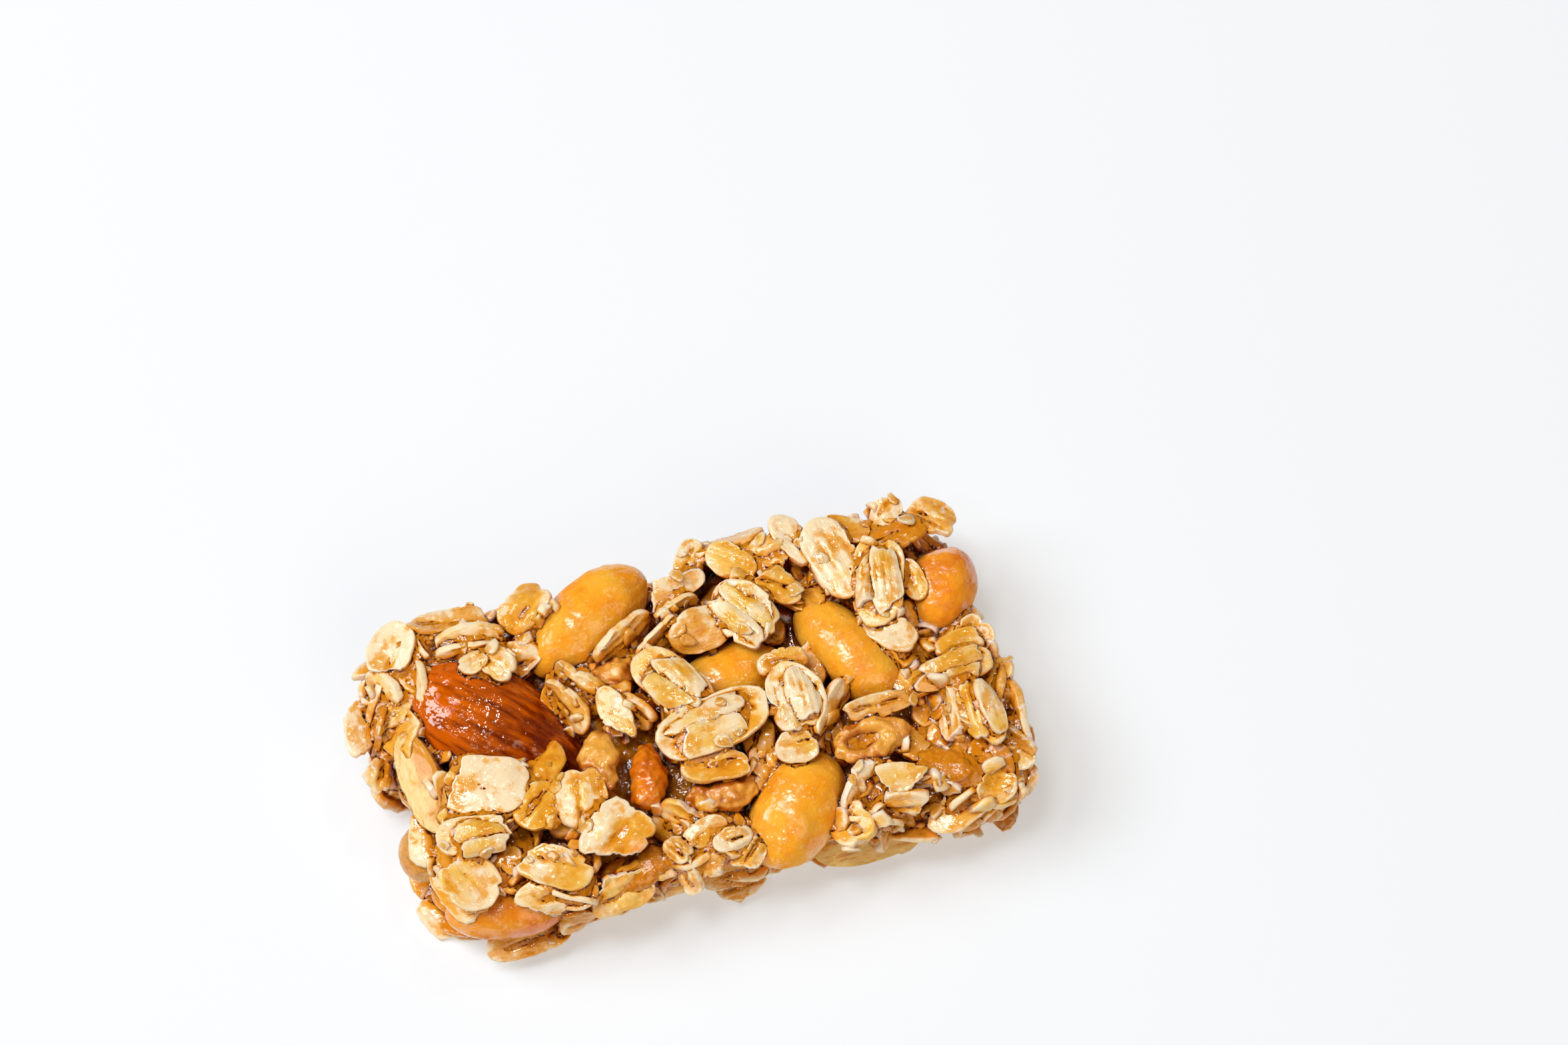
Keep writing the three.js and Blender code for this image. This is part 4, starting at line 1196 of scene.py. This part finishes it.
def gapTree():
    tree, take, keys = newTree("gaps", {"Whole": "Object", "Near": "Float", "Far": "Float", "Lift": "Float"})
    whole = addNode(tree, "GeometryNodeObjectInfo", {"Object": take["Whole"]}, "Geometry")
    normal = addNode(tree, "GeometryNodeInputNormal")
    source = vectorMaths("ADD", addNode(tree, "GeometryNodeInputPosition"), {
        1: vectorMaths("SCALE", normal, {"Scale": take["Lift"]})})
    nearSum = farSum = 0.0
    for i in range(gaps["rays"]):
        way = vectorMaths("NORMALIZE", vectorMaths("ADD", normal, {1: rayWay(i)}), {})
        hit = addNode(tree, "GeometryNodeRaycast", {
            "Target Geometry": whole, "Source Position": source, "Ray Direction": way,
            "Ray Length": take["Far"]}, "Is Hit")
        reach = Wire(hit.socket.node.outputs["Hit Distance"])
        close = maths("SUBTRACT", 1.0, maths("DIVIDE", reach, take["Near"]), True)
        nearSum = maths("ADD", nearSum, close * hit)
        farSum = maths("ADD", farSum, hit)
    pair = combined(maths("DIVIDE", nearSum, gaps["rays"]), maths("DIVIDE", farSum, gaps["rays"]))
    kept = addNode(tree, "GeometryNodeStoreNamedAttribute", {
        "Geometry": take["Geometry"], "Name": "gap", "Value": pair}, data_type="FLOAT_VECTOR", domain="POINT")
    endTree(tree, kept, take["Finish"])
    return tree, keys


def measureGaps(things, among):
    whole = joinedCopy(among)
    tree, keys = gapTree()
    for thing, finish in things.items():
        thing.data = runTree(thing, tree, keys, {
            "Whole": whole, "Near": gaps["near"] * mm, "Far": gaps["far"] * mm, "Lift": gaps["lift"] * mm,
            "Finish": finish})
    bpy.data.objects.remove(whole)


largeThings = {thing: finishes["oat"] for thing in flakeThings}
largeThings[syrupObject] = finishes["syrup"]
largeThings.update({thing: nutFinishes[name] for name, thing in nutObjects.items()})
measureGaps(largeThings, largeThings)
smallThings = {}
for name, settings in scatter.items():
    carriers = flakeThings if name == "oat_chips" else [syrupObject]
    smallThings[scattered(name, settings, carriers)] = finishes["oat"]
measureGaps(smallThings, [*largeThings, *smallThings])
print("gaps measured")

stage = {
    "size": 1.5,         # metres from the middle to a side
    "emission": 0.39,
    "colours": [(0.5, 0.55, 0.61, 1), (0.51, 0.56, 0.62, 1)],
}


def newFloor():
    size = stage["size"]
    mesh = bpy.data.meshes.new("floor")
    corners = [(-size, -size, 0), (size, -size, 0), (size, size, 0), (-size, size, 0)]
    mesh.from_pydata(corners, [], [(0, 1, 2, 3)])
    material, place = newFinish("floorWhite", Roughness=0.9, Emission_Strength=stage["emission"],
                                Emission_Color=(1, 1, 1, 1))
    mesh.materials.append(connected(material, Base_Color=mixed(noise(place, 6, 2), *stage["colours"])))
    newObject("floor", mesh)


newFloor()

# Area lights: watts, metres across, place and colour
lamps = {
    "keyLight": (9.5, 0.65, (-0.7, 0.34, 0.95), (1, 1, 1)),
    "topLight": (4.5, 0.28, (-0.22, 0.12, 1.2), (1, 1, 1)),
    "sparkLight0": (0.5, 0.08, (0.35, 0.4, 1.1), (1, 1, 1)),
    "sparkLight1": (0.5, 0.08, (-0.45, -0.3, 1.1), (1, 1, 1)),
    "fillLight": (4.2, 0.9, (0.25, -0.85, 0.85), (1, 0.82, 0.6)),
}
studio = {
    "Color": (1, 0.7, 0.4, 1),
    "Strength": 0.12,
}

for name, (power, size, place, colour) in lamps.items():
    lamp = bpy.data.lights.new(name, "AREA")
    lamp.energy, lamp.size, lamp.shape, lamp.color = power, size, "SQUARE", colour
    thing = newObject(name, lamp)
    thing.location = place
    thing.rotation_euler = (-Vector(place)).to_track_quat("-Z", "Y").to_euler()
world = bpy.data.worlds.new("studio")
world.use_nodes = True
for label, value in studio.items():
    world.node_tree.nodes["Background"].inputs[label].default_value = value
bpy.context.scene.world = world
bpy.context.scene.view_settings.view_transform = "Standard"

view = {
    "azimuth": -14,
    "elevation": 74,
    "distance": 421,     # millimetres from the bar's middle
    "height": 8,         # of that middle
    "aside": 10.6,       # of the aim, to the right of the middle
    "above": 22.65,
    "lens": 85,
    "film": 36,
}


def newCamera():
    a, e = math.radians(view["azimuth"]), math.radians(view["elevation"])
    back = Vector((math.sin(a) * math.cos(e), -math.cos(a) * math.cos(e), math.sin(e)))
    right = Vector((math.cos(a), math.sin(a), 0))
    middle = Vector(shift + [0, 0, view["height"]])
    place = middle + back * view["distance"]
    aim = middle + right * view["aside"] + back.cross(right) * view["above"]
    away = (place - aim).normalized()
    upward = away.cross(right).normalized()
    lens = bpy.data.cameras.new("camera")
    lens.lens, lens.sensor_width, lens.clip_start = view["lens"], view["film"], 0.01
    camera = newObject("camera", lens)
    turned = Matrix([upward.cross(away), upward, away]).transposed()
    camera.matrix_world = Matrix.Translation(place * mm) @ turned.to_4x4()
    bpy.context.scene.camera = camera


newCamera()

for thing in [*flakeThings, syrupObject, *smallThings]:
    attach(thing, "root")
    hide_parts("oat_mass")
for name, thing in nutObjects.items():
    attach(thing, "root")
    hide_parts(name)
